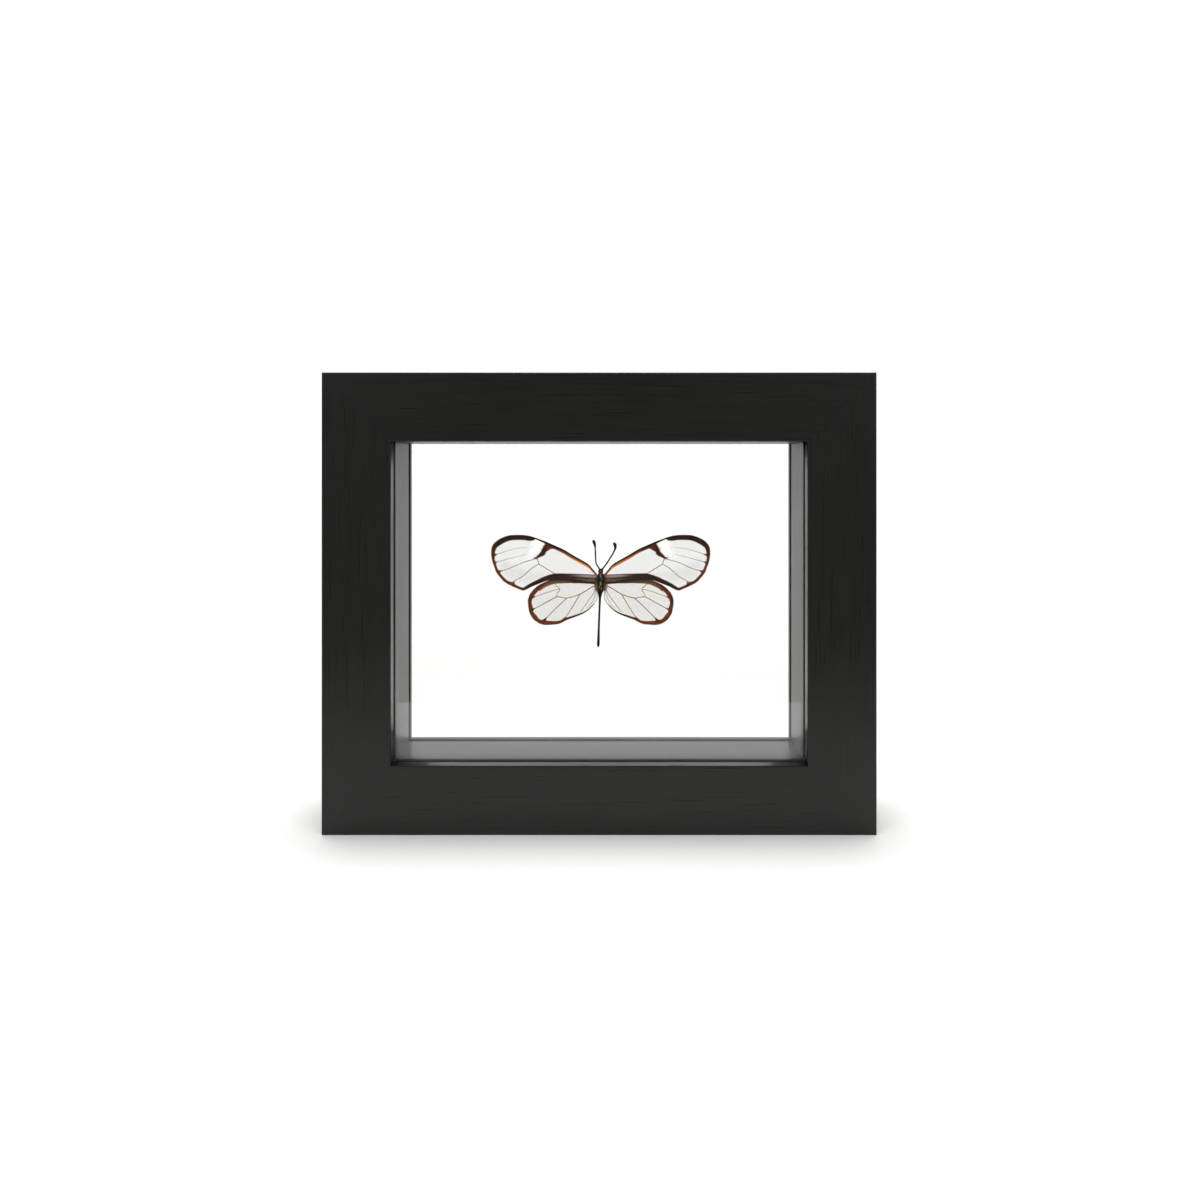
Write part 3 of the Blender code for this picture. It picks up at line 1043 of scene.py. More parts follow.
FOREWING = WingDesign(
    name="forewing",
    leading=(
        (0.68, 0.62), (1.0, 1.05), (1.45, 1.66), (2.02, 2.34), (2.5, 3.06), (3.4, 3.72), (4.37, 4.3),
        (6.62, 5.57), (8.69, 6.84), (10.66, 7.73), (12.92, 8.72), (14.89, 9.45), (16.16, 9.88),
        (17.95, 10.22), (20.65, 10.23), (21.92, 10.02), (23.35, 9.47), (24.6, 8.64), (25.26, 7.85),
        (25.53, 7.05), (25.6, 6.35),
    ),
    trailing=(
        (0.68, -1.0), (3.03, -0.89), (5.26, -0.54), (7.68, -0.26), (11.42, -0.23), (12.9, -0.45),
        (14.23, -0.99), (16.26, -1.79), (17.55, -2.5), (18.15, -2.66), (19.3, -2.24), (20.7, -1.65),
        (22.32, -0.78), (23.42, 0.33), (24.35, 1.56), (24.9, 2.98), (25.3, 4.13), (25.46, 5.0), (25.56, 5.8),
    ),
    marks=(
        # dark band along the inner margin; its greyer colours near the body are painted sheen
        Mark(
            (
                (1.0, -0.05, 0.95), (2.8, 0.08, 0.95), (4.5, 0.28, 0.86), (6.2, 0.42, 0.8), (8.0, 0.46, 0.8),
                (10.0, 0.5, 0.8), (11.3, 0.42, 0.76), (12.9, 0.0, 0.64), (14.7, -0.72, 0.56),
                (16.4, -1.52, 0.5), (17.5, -2.1, 0.42), (18.1, -2.42, 0.3),
            ),
            ("7a6a52", "81766a", "78706c", "3c3436", "1c1818", "1d1919", "181514", "1b1412", "1a100d",
             "1a0f0c", "24150e"),
        ),
        # painted sheen as grey-lilac scales, then dark brown, then flecked gold towards its lower side near
        # the body
        Mark(
            ((0.9, 0.5, 0.14), (3.0, 0.6, 0.17), (5.0, 0.74, 0.14), (7.4, 0.86, 0.06)),
            ("8d8a8a", "8f8d92", "77737a", "3a3436"),
        ),
        Mark(
            ((0.9, -0.05, 0.22), (3.0, 0.08, 0.22), (5.2, 0.22, 0.2), (8.0, 0.3, 0.1)),
            ("43362a", "2d251f", "1c1816", "120e0d"),
            soft=0.12,
        ),
        Mark(
            ((0.9, -0.5, 0.22), (3.0, -0.4, 0.22), (5.2, -0.22, 0.16), (7.0, -0.05, 0.06)),
            ("5c4c3b", "4a3d2f", "30271f", "181311"),
            soft=0.14,
        ),
        *(
            Mark(((out, up, 0.04), (out + 0.28, up + 0.03, 0.03)), (colour,), soft=0.08)
            for out, up, colour in (
                (1.3, 0.98, "a87238"), (2.2, 1.02, "b59a70"), (3.1, 1.05, "8b7658"), (1.5, -0.38, "a08a60"),
                (2.1, -0.32, "97815a"), (2.8, -0.4, "a08a60"), (3.4, -0.25, "8b7658"), (4.1, -0.22, "7d6b4c"),
                (4.9, -0.12, "6b5b45"), (1.7, 0.0, "8b7a60"), (2.5, 0.08, "6b5d4c"), (3.7, 0.1, "6b5b45"),
            )
        ),
        # dark red-brown line along the trailing margin: partly the band's own edge, partly a painted shadow
        # of the wing's lower edge
        Mark(
            (
                (0.8, -0.95, 0.26), (3.0, -0.87, 0.24), (5.2, -0.52, 0.2), (7.7, -0.25, 0.18),
                (11.4, -0.22, 0.16), (13.0, -0.5, 0.16), (16.2, -1.8, 0.14), (17.6, -2.5, 0.12),
            ),
            ("2e190b", "28160a", "2c1a0c", "2a190b", "241508", "22140a", "2b180b"),
        ),
        # apical and outer border
        Mark(
            (
                (16.1, 9.8, 0.85), (17.0, 9.98, 1.02), (17.95, 10.22, 1.1), (20.65, 10.23, 1.12),
                (21.92, 10.02, 1.16), (23.35, 9.47, 1.2), (24.6, 8.64, 1.16), (25.26, 7.85, 1.05),
                (25.55, 6.84, 0.92), (25.5, 5.4, 0.66), (25.3, 4.13, 0.58), (24.9, 2.98, 0.54),
                (24.35, 1.56, 0.6), (23.42, 0.33, 0.6), (22.32, -0.78, 0.62), (20.7, -1.65, 0.62),
                (19.3, -2.24, 0.56), (18.15, -2.66, 0.55),
            ),
            ("140d08", "1a110b", "150e0d", "140d0b", "1b120c", "1b110b", "26160a", "3e200a", "45240c",
             "553013", "4e2a14", "4b210d", "4f280f", "4a2915", "3c2413"),
        ),
        Mark(
            (
                (24.9, 8.5, 0.1), (25.7, 6.9, 0.25), (25.6, 5.2, 0.26), (25.4, 4.1, 0.26), (24.45, 1.5, 0.26),
                (22.4, -0.85, 0.26), (20.8, -1.75, 0.24), (18.9, -2.5, 0.2),
            ),
            ("5e3d20", "6a421f", "70451f", "6b4020", "63381b", "5b351c"),
            soft=0.25,
        ),
        # spurs where veins run into the border
        *(
            Mark(((*inward, 0.06), (*outward, 0.42)), (colour,))
            for inward, outward, colour in (
                ((24.2, 5.85), (25.2, 5.5), "3c2110"), ((24.1, 4.05), (25.1, 3.75), "4c2c12"),
                ((23.0, 2.0), (24.2, 1.6), "5a3419"), ((20.8, -0.75), (21.9, -0.85), "552c15"),
                ((20.1, -0.6), (20.7, -1.3), "5a3018"), ((17.7, -1.85), (18.3, -2.5), "3d2516"),
            )
        ),
        # tooth that ends the border on the costa
        Mark(((15.85, 9.75, 0.2), (16.35, 9.35, 0.34), (16.9, 9.25, 0.3)), ("1f160f",)),
        # dark bar across the end of the cell
        Mark(
            (
                (12.05, 8.15, 0.75), (12.7, 7.4, 0.72), (13.2, 6.75, 0.58), (13.62, 6.12, 0.46),
                (14.15, 5.6, 0.4), (14.75, 5.15, 0.28), (15.3, 4.92, 0.16), (15.75, 4.8, 0.07),
            ),
            ("4f2d1a", "3c2013", "27130d", "1a100c", "22150f", "3c2415", "5a3520"),
        ),
        Mark(((13.2, 5.95, 0.3), (13.75, 5.6, 0.3)), ("2a1812", "23140e")),
        Mark(
            ((10.4, 7.2, 0.12), (11.3, 7.5, 0.35), (12.1, 7.15, 0.34), (12.6, 6.7, 0.2)),
            ("84441f", "6e3a20", "5c3220", "452818"),
            soft=0.3,
        ),
        # orange band, then the black line outside it
        Mark(
            (
                (0.95, 0.85, 0.16), (1.5, 1.48, 0.21), (2.05, 2.14, 0.26), (2.66, 2.8, 0.29),
                (3.5, 3.28, 0.28), (4.55, 3.84, 0.28), (6.8, 5.09, 0.28), (8.85, 6.34, 0.28),
                (10.8, 7.24, 0.3), (12.4, 7.95, 0.35),
            ),
            ("6e3410", "a0541c", "d88843", "cf7a30", "c67229", "bc6826", "a65a22", "8a451d", "6b3419",
             "4a2814", "3c2013"),
        ),
        Mark(
            (
                (1.02, 1.1, 0.12), (1.45, 1.7, 0.2), (2.0, 2.4, 0.25), (2.48, 3.12, 0.34),
                (3.4, 3.76, 0.38), (4.37, 4.34, 0.4), (6.62, 5.6, 0.42), (8.69, 6.87, 0.43),
                (10.66, 7.77, 0.48), (12.92, 8.76, 0.5), (14.89, 9.5, 0.34), (16.3, 9.95, 0.36),
            ),
            ("2a140a", "140b08", "0c0807", "0c0807", "0c0807", "0b0706", "0b0706", "0c0807", "0e0907"),
            soft=0.06,
        ),
    ),
    clouds=(
        # pale patch beyond the bar, fading inwards, and a thin veil in the lower cells
        Cloud(
            ((13.6, 8.2, 0.5), (14.4, 8.4, 0.75), (15.3, 8.7, 0.7), (15.9, 8.6, 0.4)),
            ("fbf8e6", "fffdf0", "fcfbea"),
            soft=0.4,
            patch=0.42,
        ),
        Cloud(
            ((14.5, 7.8, 0.9), (15.2, 7.0, 1.15), (15.8, 6.1, 1.0), (16.6, 5.5, 0.5)),
            ("fdfef4", "fbfefb"),
            soft=0.95,
            patch=0.42,
        ),
        Cloud(
            ((12.8, 1.0, 0.6), (17.5, 0.8, 1.4), (21.3, 2.0, 1.7), (22.6, 3.4, 1.0)),
            ("8e847c",),
            soft=1.2,
            veil=0.06,
        ),
    ),
    veins=(
        Vein(((17.15, 7.38), (19.66, 7.16), (21.92, 6.58), (24.78, 5.66)), (0.03, 0.06)),
        Vein(((17.41, 5.76), (19.3, 5.33), (21.1, 4.86), (22.95, 4.35), (24.88, 3.88)), (0.03, 0.06)),
        Vein(((14.8, 4.8), (17.95, 3.97), (21.54, 2.44), (23.9, 1.7)), (0.08, 0.065)),
        Vein(((15.0, 4.85), (14.62, 4.1), (14.49, 3.5)), (0.085, 0.08)),
        Vein(
            ((14.49, 3.5), (16.16, 2.51), (17.4, 1.4), (18.39, 0.54), (20.65, -0.63), (22.0, -1.1)),
            (0.085, 0.07),
        ),
        Vein(((14.49, 3.5), (12.64, 2.35), (10.66, 1.17)), (0.085, 0.085)),
        Vein(
            (
                (0.9, 0.8), (3.0, 0.98), (6.18, 1.08), (10.66, 1.17), (11.56, 0.99), (13.37, 0.38),
                (14.92, -0.38), (16.94, -1.46), (18.4, -2.3),
            ),
            (0.11, 0.08),
            "94481a",
        ),
        Vein(((0.9, 0.1), (5.0, 0.3), (10.0, 0.3), (13.0, -0.1), (17.6, -2.2)), (0.08, 0.05), "2c1d15"),
        # costa and subcosta, which stiffen the leading edge
        Vein(
            (
                (0.95, 1.0), (1.46, 1.6), (2.03, 2.26), (2.54, 2.98), (3.4, 3.64), (4.37, 4.22),
                (6.62, 5.48), (8.69, 6.74), (10.66, 7.64), (12.92, 8.62), (14.89, 9.4), (17.9, 10.15),
                (20.65, 10.18), (23.3, 9.45),
            ),
            (0.12, 0.06),
            "1a120e",
        ),
        Vein(
            (
                (0.95, 0.7), (1.6, 1.4), (2.5, 2.35), (4.4, 3.6), (6.8, 4.95), (8.9, 6.15), (12.3, 7.9),
                (14.7, 9.2),
            ),
            (0.09, 0.05),
            "8f4d1e",
        ),
    ),
    grid=(170, 78),
    bare_colour="8f8892",
    haze=0.125,
    rim_radius=0.06,
    rim_colour="1c110b",
    arch=0.35,
    tip_curl=-0.55,
    fringed=(0.82, 0.6),
)

HINDWING = WingDesign(
    name="hindwing",
    leading=(
        (0.66, -1.2), (2.6, -0.7), (5.5, -0.1), (10.0, 0.05), (12.0, -0.4), (13.4, -0.96), (14.75, -1.72),
        (15.95, -2.8), (16.68, -3.9), (17.0, -4.9), (17.04, -5.5),
    ),
    trailing=(
        (0.6, -2.0), (0.76, -2.7), (0.78, -3.4), (0.8, -4.6), (1.4, -5.75), (2.65, -7.1), (4.0, -8.1),
        (6.05, -8.95), (8.1, -9.72), (9.1, -10.3), (10.2, -10.64), (12.0, -10.8), (13.35, -10.8),
        (14.6, -10.34), (15.72, -9.46), (16.48, -8.4), (16.76, -7.4), (16.98, -6.3),
    ),
    marks=(
        # olive-tan zone along the leading margin
        Mark(
            (
                (0.9, -1.0, 0.4), (2.0, -0.78, 0.46), (4.0, -0.5, 0.62), (7.0, -0.4, 0.63),
                (10.0, -0.46, 0.64), (12.0, -0.85, 0.62), (13.2, -1.4, 0.55), (14.0, -2.0, 0.4),
            ),
            ("2e1c10", "33210f", "40301f", "594836", "6a5a48", "66503a", "5a3f2a"),
        ),
        # paler line along the zone's lower side: a painted highlight
        Mark(
            (
                (3.0, -0.95, 0.08), (5.5, -0.98, 0.1), (8.5, -0.95, 0.12), (11.0, -1.08, 0.16),
                (12.4, -1.5, 0.2), (13.5, -2.05, 0.2), (14.4, -2.8, 0.12),
            ),
            ("3a2a1a", "5a4a36", "705e46", "7a6044", "735034"),
            soft=0.2,
        ),
        # outer border
        Mark(
            (
                (12.3, -0.5, 0.2), (13.4, -1.0, 0.48), (14.7, -1.85, 0.7), (15.9, -2.9, 0.88),
                (16.68, -3.95, 0.9), (17.02, -5.2, 0.8), (16.95, -6.5, 0.74), (16.7, -7.6, 0.74),
                (15.75, -9.42, 0.72), (14.6, -10.32, 0.82), (13.3, -10.8, 1.04), (12.0, -10.8, 0.86),
                (10.3, -10.66, 0.7), (9.15, -10.32, 0.56), (8.1, -9.72, 0.5), (6.05, -8.95, 0.38),
                (4.0, -8.1, 0.26), (2.65, -7.1, 0.17), (1.5, -5.9, 0.1),
            ),
            ("6d4a2c", "5b3219", "532b18", "572c18", "4d2212", "4b1c0f", "5a2f1a", "5e3420", "5c301d",
             "5e3320", "623823", "56290f", "4a2412", "351d12", "301b12", "3a281c", "5b4a3a"),
        ),
        # rust mottling down its middle, and its darker rim
        *(
            Mark(((*start, 0.2), (*end, 0.2)), (colour,), soft=0.35)
            for start, end, colour in (
                ((15.4, -2.9), (16.1, -3.9), "6b3a1c"), ((16.3, -6.3), (16.1, -7.2), "74401f"),
                ((15.6, -8.4), (14.9, -9.2), "70401f"), ((13.6, -10.0), (12.6, -10.2), "7c4826"),
                ((11.6, -10.2), (10.6, -10.2), "6b3614"),
            )
        ),
        Mark(
            (
                (13.8, -1.05, 0.08), (16.0, -2.75, 0.22), (16.83, -4.0, 0.24), (17.1, -5.4, 0.22),
                (16.68, -8.0, 0.18), (14.6, -10.5, 0.18), (13.2, -10.9, 0.18), (10.3, -10.8, 0.18),
            ),
            ("42280f", "38200f", "3a2010", "452611", "4c2a12", "4a2912"),
            soft=0.2,
        ),
        *(
            Mark(((*inward, 0.05), (*outward, 0.4)), ("4f2713",))
            for inward, outward in (
                ((15.3, -4.2), (16.4, -4.5)), ((15.4, -6.95), (16.3, -7.4)), ((12.7, -9.1), (13.4, -10.0)),
                ((8.1, -8.9), (8.7, -9.8)),
            )
        ),
    ),
    clouds=(
        Cloud(((0.9, -1.6, 0.5), (0.9, -4.6, 0.4)), ("8f8476",), soft=1.2, veil=0.06),
    ),
    veins=(
        Vein(
            ((10.88, -1.0), (10.4, -1.75), (9.65, -2.47), (10.34, -3.69), (10.45, -4.23)),
            (0.075, 0.075),
            "6b4428",
        ),
        Vein(((9.65, -2.45), (11.93, -3.0), (15.85, -4.4)), (0.062, 0.062), "6b4428"),
        Vein(((10.45, -4.23), (12.9, -5.64), (15.9, -7.25)), (0.088, 0.076)),
        Vein(
            ((10.45, -4.23), (9.3, -4.35), (7.89, -4.56), (4.93, -3.69), (2.23, -2.07), (1.0, -1.6)),
            (0.085, 0.1),
            "5c3018",
        ),
        Vein(((7.89, -4.56), (10.34, -6.79), (13.25, -9.75)), (0.09, 0.078)),
        Vein(((4.93, -3.72), (6.41, -6.25), (8.35, -9.3)), (0.09, 0.078), "58280f"),
        Vein(((1.0, -2.2), (2.1, -4.1), (3.45, -5.97), (4.8, -7.9)), (0.075, 0.062), "75503a"),
        Vein(((0.95, -2.3), (1.2, -3.6), (2.0, -5.5), (3.1, -6.9)), (0.058, 0.045), "85684c"),
        Vein(((0.95, -1.1), (4.0, -0.5), (8.0, -0.25), (12.0, -0.6), (14.9, -2.2)), (0.08, 0.05), "5b4630"),
    ),
    grid=(132, 72),
    bare_colour="8b7d70",
    haze=0.18,
    rim_radius=0.05,
    rim_colour="2a140a",
    arch=0.2,
    tip_curl=-0.25,
    fringed=(0.74, 0.1),
)


@dataclass(frozen=True)
class Setting:
    """Where the specimen sits: its thorax's middle and its wings' planes."""

    thorax: Vector
    planes: dict[str, float]

    @classmethod
    def from_frame(cls) -> "Setting":
        """Reads the places from the CAD nodes."""
        glue_low, glue_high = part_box("glue_dot")
        body_low, body_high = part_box("butterfly_body")
        glue = (glue_low + glue_high) / 2
        thorax = Vector((glue.x, (body_low.y + body_high.y) / 2, glue.z + GLUE_BELOW * MM))
        planes = {}
        for name in ("forewing", "hindwing"):
            low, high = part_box(f"{name}_right")
            planes[name] = (low.y + high.y) / 2
        return cls(thorax, planes)


class Side(Enum):
    """The right wings, towards +X, or the left ones."""

    RIGHT = 1
    LEFT = -1


@dataclass
class Wing:
    """One wing: its clear membrane, its veins, its scales, its fringe and the hair at its root."""

    design: WingDesign
    side: Side
    setting: Setting
    thickness: float = 0.03 * MM
    arch_span: float = 25.0
    arch_fall: float = 9.0
    ripple: float = 0.035
    vein_swell: float = 0.05
    swell_reach: float = 0.9
    root_blend: tuple[float, float] = (0.8, 3.2)
    root_plane: float = 0.1
    crowding: float = 0.045
    vein_step: float = 0.3
    vein_tip: float = 0.3
    margin_steps: int = 240
    fringe_colour: str = "9a7a50"
    bristle_colour: str = "8c8078"
    root_hair_colours: tuple[str, ...] = ("4a3828", "745c44", "8f765a", "877157")
    root_hair_out: tuple[float, float] = (0.9, 1.9)
    root_hair_low: tuple[float, float] = (-3.0, -2.2)
    root_hair_high: tuple[float, float] = (0.1, 0.6)
    # real scales are about half as long; these are as fine as show
    scales: Scatter = Scatter(Growth.SCALE, 0.1 * MM, 0.2 * MM, 0.11 * MM, (3, 12), 16)
    fringe: Scatter = Scatter(Growth.HAIR, 0.07 * MM, 0.2 * MM, 0.03 * MM, (35, 80), 20)
    down: Scatter = Scatter(Growth.HAIR, 0.06 * MM, 0.65 * MM, 0.03 * MM, (8, 32), 30, curl=-0.15)
    bristles: Scatter = Scatter(Growth.HAIR, 0.42 * MM, 0.16 * MM, 0.012 * MM, (8, 25), 25)

    def __post_init__(self) -> None:
        """Works out the margins, and the piece's name."""
        self.name = f"{self.design.name}_{self.side.name.lower()}"
        self.leading = smooth_curve(self.design.leading, 400)
        self.trailing = smooth_curve(self.design.trailing, 400)
        self.vein_lines = [smooth_curve(vein.route, 40) for vein in self.design.veins]

    def to_world(self, places: Array) -> Array:
        """Turns the wing's own millimetres to metres in the frame.

        Args:
            places: rows of (outward, up).

        Returns:
            Rows of x, y and z on the wing's middle surface.
        """
        out, up = places[:, 0], places[:, 1]
        gap = np.full(len(places), 1e9)
        for line in self.vein_lines:
            gap = np.minimum(gap, distance_to(line[::3], places)[0])
        span = np.clip(out / self.arch_span, 0, 1)
        lift = self.design.arch * np.sin(span * math.pi) * np.cos(up / self.arch_fall)
        swell = self.vein_swell * (1 - np.exp(-gap / self.swell_reach))
        lift = lift - self.design.tip_curl * span**2.5 + swell
        # waves of about 3 mm that cross each other, as dry membrane has
        lift = lift + self.ripple * np.sin(out * 2.1 + up * 1.3) * np.sin(up * 1.7 - out * 0.6) * span
        plane = self.setting.planes[self.design.name] / MM - lift
        root = (self.setting.thorax.y / MM) - self.root_plane
        share = smoothstep(*self.root_blend, out)
        y = root + (plane - root) * share
        x = self.setting.thorax.x + self.side.value * out * SPREAD
        return np.column_stack([x, y * MM, self.setting.thorax.z + up * SPREAD])

    def from_world(self, places: Array) -> Array:
        """Turns rows of x, y and z to the wing's own (outward, up) millimetres."""
        out = (places[:, 0] - self.setting.thorax.x) * self.side.value / SPREAD
        return np.column_stack([out, (places[:, 2] - self.setting.thorax.z) / SPREAD])

    def paint(self, mesh: bpy.types.Mesh) -> None:
        """Stores the wing's pattern on a mesh.

        Args:
            mesh: a mesh on the wing. It gets edge (how far inside a scaled mark), pigment, haze
                (how milky it is where it is bare), bare (its colour there), density and lay.
        """
        places = self.from_world(vertices_of(mesh))
        pigment = plain_tint(self.design.marks[0].colours[0], len(places))
        edge = np.full(len(places), FAR_OUTSIDE)
        for mark in self.design.marks:
            inside, weight, tint = mark.measure(places)
            pigment = covered(pigment, tint, weight)
            edge = np.maximum(edge, inside)
        haze = np.full(len(places), self.design.haze)
        bare = plain_tint(self.design.bare_colour, len(places))
        for cloud in self.design.clouds:
            _, weight, tint = cloud.measure(places)
            haze = np.maximum(haze, cloud.patch * weight) + cloud.veil * weight
            bare = covered(bare, tint, weight)
        lay = np.column_stack([places[:, 0] + 2.0, np.zeros(len(places)), places[:, 1]])
        lay[:, 0] *= self.side.value
        scaled = (edge > 0.02).astype(float)
        store(mesh, edge=edge, haze=haze, bare=bare, pigment=pigment, lay=lay, density=scaled)

    def membrane_mesh(self) -> bpy.types.Mesh:
        """Models the membrane as a grid drawn between its two margins, with its thickness."""
        across, along = self.design.grid
        bm = bmesh.new()
        bmesh.ops.create_grid(bm, x_segments=across, y_segments=along, size=1.0)
        verts = list(bm.verts)
        share = np.array([(vert.co.x + 1) / 2 for vert in verts])
        climb = np.array([(vert.co.y + 1) / 2 for vert in verts])
        climb = climb - self.crowding * np.sin(climb * math.tau)  # rows crowd towards both margins
        ends = np.linspace(0, 1, len(self.leading))
        front, rear = (
            np.column_stack([np.interp(share, ends, margin[:, axis]) for axis in (0, 1)])
            for margin in (self.leading, self.trailing)
        )
        places = self.to_world(rear + (front - rear) * climb[:, None])
        for vert, place in zip(verts, places):
            vert.co = place
        bmesh.ops.recalc_face_normals(bm, faces=bm.faces)
        bmesh.ops.solidify(bm, geom=bm.faces[:], thickness=self.thickness)
        return mesh_of(f"{self.name}_membrane", bm, 60.0)

    def outline(self) -> Array:
        """The free margin from the leading root round to the trailing root."""
        return np.vstack([self.leading, self.trailing[::-1]])

    def vein_mesh(self) -> bpy.types.Mesh:
        """Models the veins and the thickened margin as tapering tubes with their own colours."""
        routes, tints = [], []
        for vein, line in zip(self.design.veins, self.vein_lines):
            length = np.linalg.norm(np.diff(line, axis=0), axis=1).sum()
            steps = max(12, int(length / self.vein_step))
            places = self.to_world(smooth_curve(vein.route, steps))
            radii = np.linspace(*vein.radii, steps) * MM
            radii[-1] *= self.vein_tip
            routes.append((places, radii))
            tints.append(vein.colour)
        margin = smooth_curve(self.outline()[::16], self.margin_steps)
        radii = np.full(len(margin), self.design.rim_radius * MM)
        routes.append((self.to_world(margin), radii))
        tints.append(self.design.rim_colour)
        mesh = tube_mesh(f"{self.name}_veins", routes, 6)
        self.paint(mesh)
        places = self.from_world(vertices_of(mesh))
        best = np.full(len(places), 1e9)
        tone = np.zeros((len(places), 3))
        for (route, _), tint in zip(routes, tints):
            gap = distance_to(self.from_world(route), places)[0]
            nearer = gap < best - 0.01
            best = np.where(nearer, gap, best)
            tone[nearer] = linear(tint)
        on_mark = smoothstep(-0.1, 0.15, stored(mesh, "edge").astype(float)) * 0.85
        pigment = covered(tone, stored(mesh, "pigment"), on_mark)
        store(mesh, pigment=pigment, shade=np.full(len(places), 0.5))
        return mesh

    def fringe_mesh(self) -> bpy.types.Mesh:
        """Grows the fringe of short hair outwards from the outer margin."""
        first, last = (int(share * len(self.leading)) for share in self.design.fringed)
        outer = np.vstack([self.leading[first:], self.trailing[last:][::-1]])
        margin = smooth_curve(outer[::12], self.margin_steps)
        centre = self.outline().mean(axis=0)
        tube = tube_mesh(
            f"{self.name}_fringe_root", [(self.to_world(margin), np.full(len(margin), 0.035 * MM))], 4
        )
        self.paint(tube)
        places = self.from_world(vertices_of(tube))
        away = places - centre
        lay = np.column_stack([away[:, 0] * self.side.value, np.zeros(len(away)), away[:, 1]])
        density = np.where(stored(tube, "edge") > 0, 1.0, 0.25)
        tan = plain_tint(self.fringe_colour, len(places))
        store(tube, lay=lay, density=density, pigment=0.5 * tan + 0.5 * stored(tube, "pigment"))
        return self.fringe.grow(f"{self.name}_fringe", tube)

    def scale_mesh(self, face: str, membrane: bpy.types.Mesh, facing: int) -> bpy.types.Mesh:
        """Grows the scales of the coloured marks on one face.

        Args:
            face: the name of the wing's face.
            membrane: the painted membrane.
            facing: the sign of Y that the face looks towards.

        Returns:
            The scales' mesh.
        """
        base = membrane.copy()
        normals = np.empty(len(base.vertices) * 3, np.float32)
        base.vertex_normals.foreach_get("vector", normals)
        store(base, density=stored(base, "density") * (normals[1::3] * facing > 0))
        return self.scales.grow(f"{self.name}_{face}_scales", base)

    def root_hair_mesh(self, membrane: bpy.types.Mesh) -> bpy.types.Mesh:
        """Grows the long hair at the wing's root.

        Args:
            membrane: the painted membrane.

        Returns:
            The hair's mesh.
        """
        base = membrane.copy()
        places = self.from_world(vertices_of(base))
        out, up = places.T
        near = 1 - smoothstep(*self.root_hair_out, out + 0.15 * np.abs(up + 1.0))
        near = near * smoothstep(*self.root_hair_low, up) * (1 - smoothstep(*self.root_hair_high, up))
        gold = tint_along(self.root_hair_colours, np.clip((out - 0.9) / 2.0, 0, 1))
        outward = np.full(len(places), float(self.side.value))
        lay = np.column_stack([outward, np.zeros(len(places)), np.where(up > 0.3, 0.35, -0.9)])
        store(base, density=near, pigment=gold, lay=lay)
        return self.down.grow(f"{self.name}_root_hair", base)

    def bristle_mesh(self, membrane: bpy.types.Mesh) -> bpy.types.Mesh:
        """Grows the sparse bristle-like scales of the clear cells.

        Args:
            membrane: the painted membrane.

        Returns:
            The bristles' mesh.
        """
        base = membrane.copy()
        edge = stored(base, "edge")
        clear = (edge < -0.1).astype(float)
        store(base, density=clear, pigment=plain_tint(self.bristle_colour, len(edge)))
        return self.bristles.grow(f"{self.name}_bristles", base)

    def build(self, skin: bpy.types.Material, coat: bpy.types.Material, hair: bpy.types.Material) -> None:
        """Builds the wing's pieces.

        Args:
            skin: the membrane's material.
            coat: the material of scales and veins.
            hair: the material of hair.
        """
        membrane = self.membrane_mesh()
        self.paint(membrane)
        pieces = (
            ("upper_scales", self.scale_mesh("upper", membrane, -1), coat),
            ("under_scales", self.scale_mesh("under", membrane, 1), coat),
            ("veins", self.vein_mesh(), coat),
            ("fringe", self.fringe_mesh(), hair),
            ("root_hair", self.root_hair_mesh(membrane), hair),
            ("bristles", self.bristle_mesh(membrane), hair),
        )
        ride_as_piece(add_mesh(f"{self.name}_membrane", membrane, skin), [self.name])
        for kind, mesh, finish in pieces:
            ride_as_piece(add_mesh(f"{self.name}_{kind}", mesh, finish))
            LOG.info("%s %s: %d faces", self.name, kind, len(mesh.polygons))


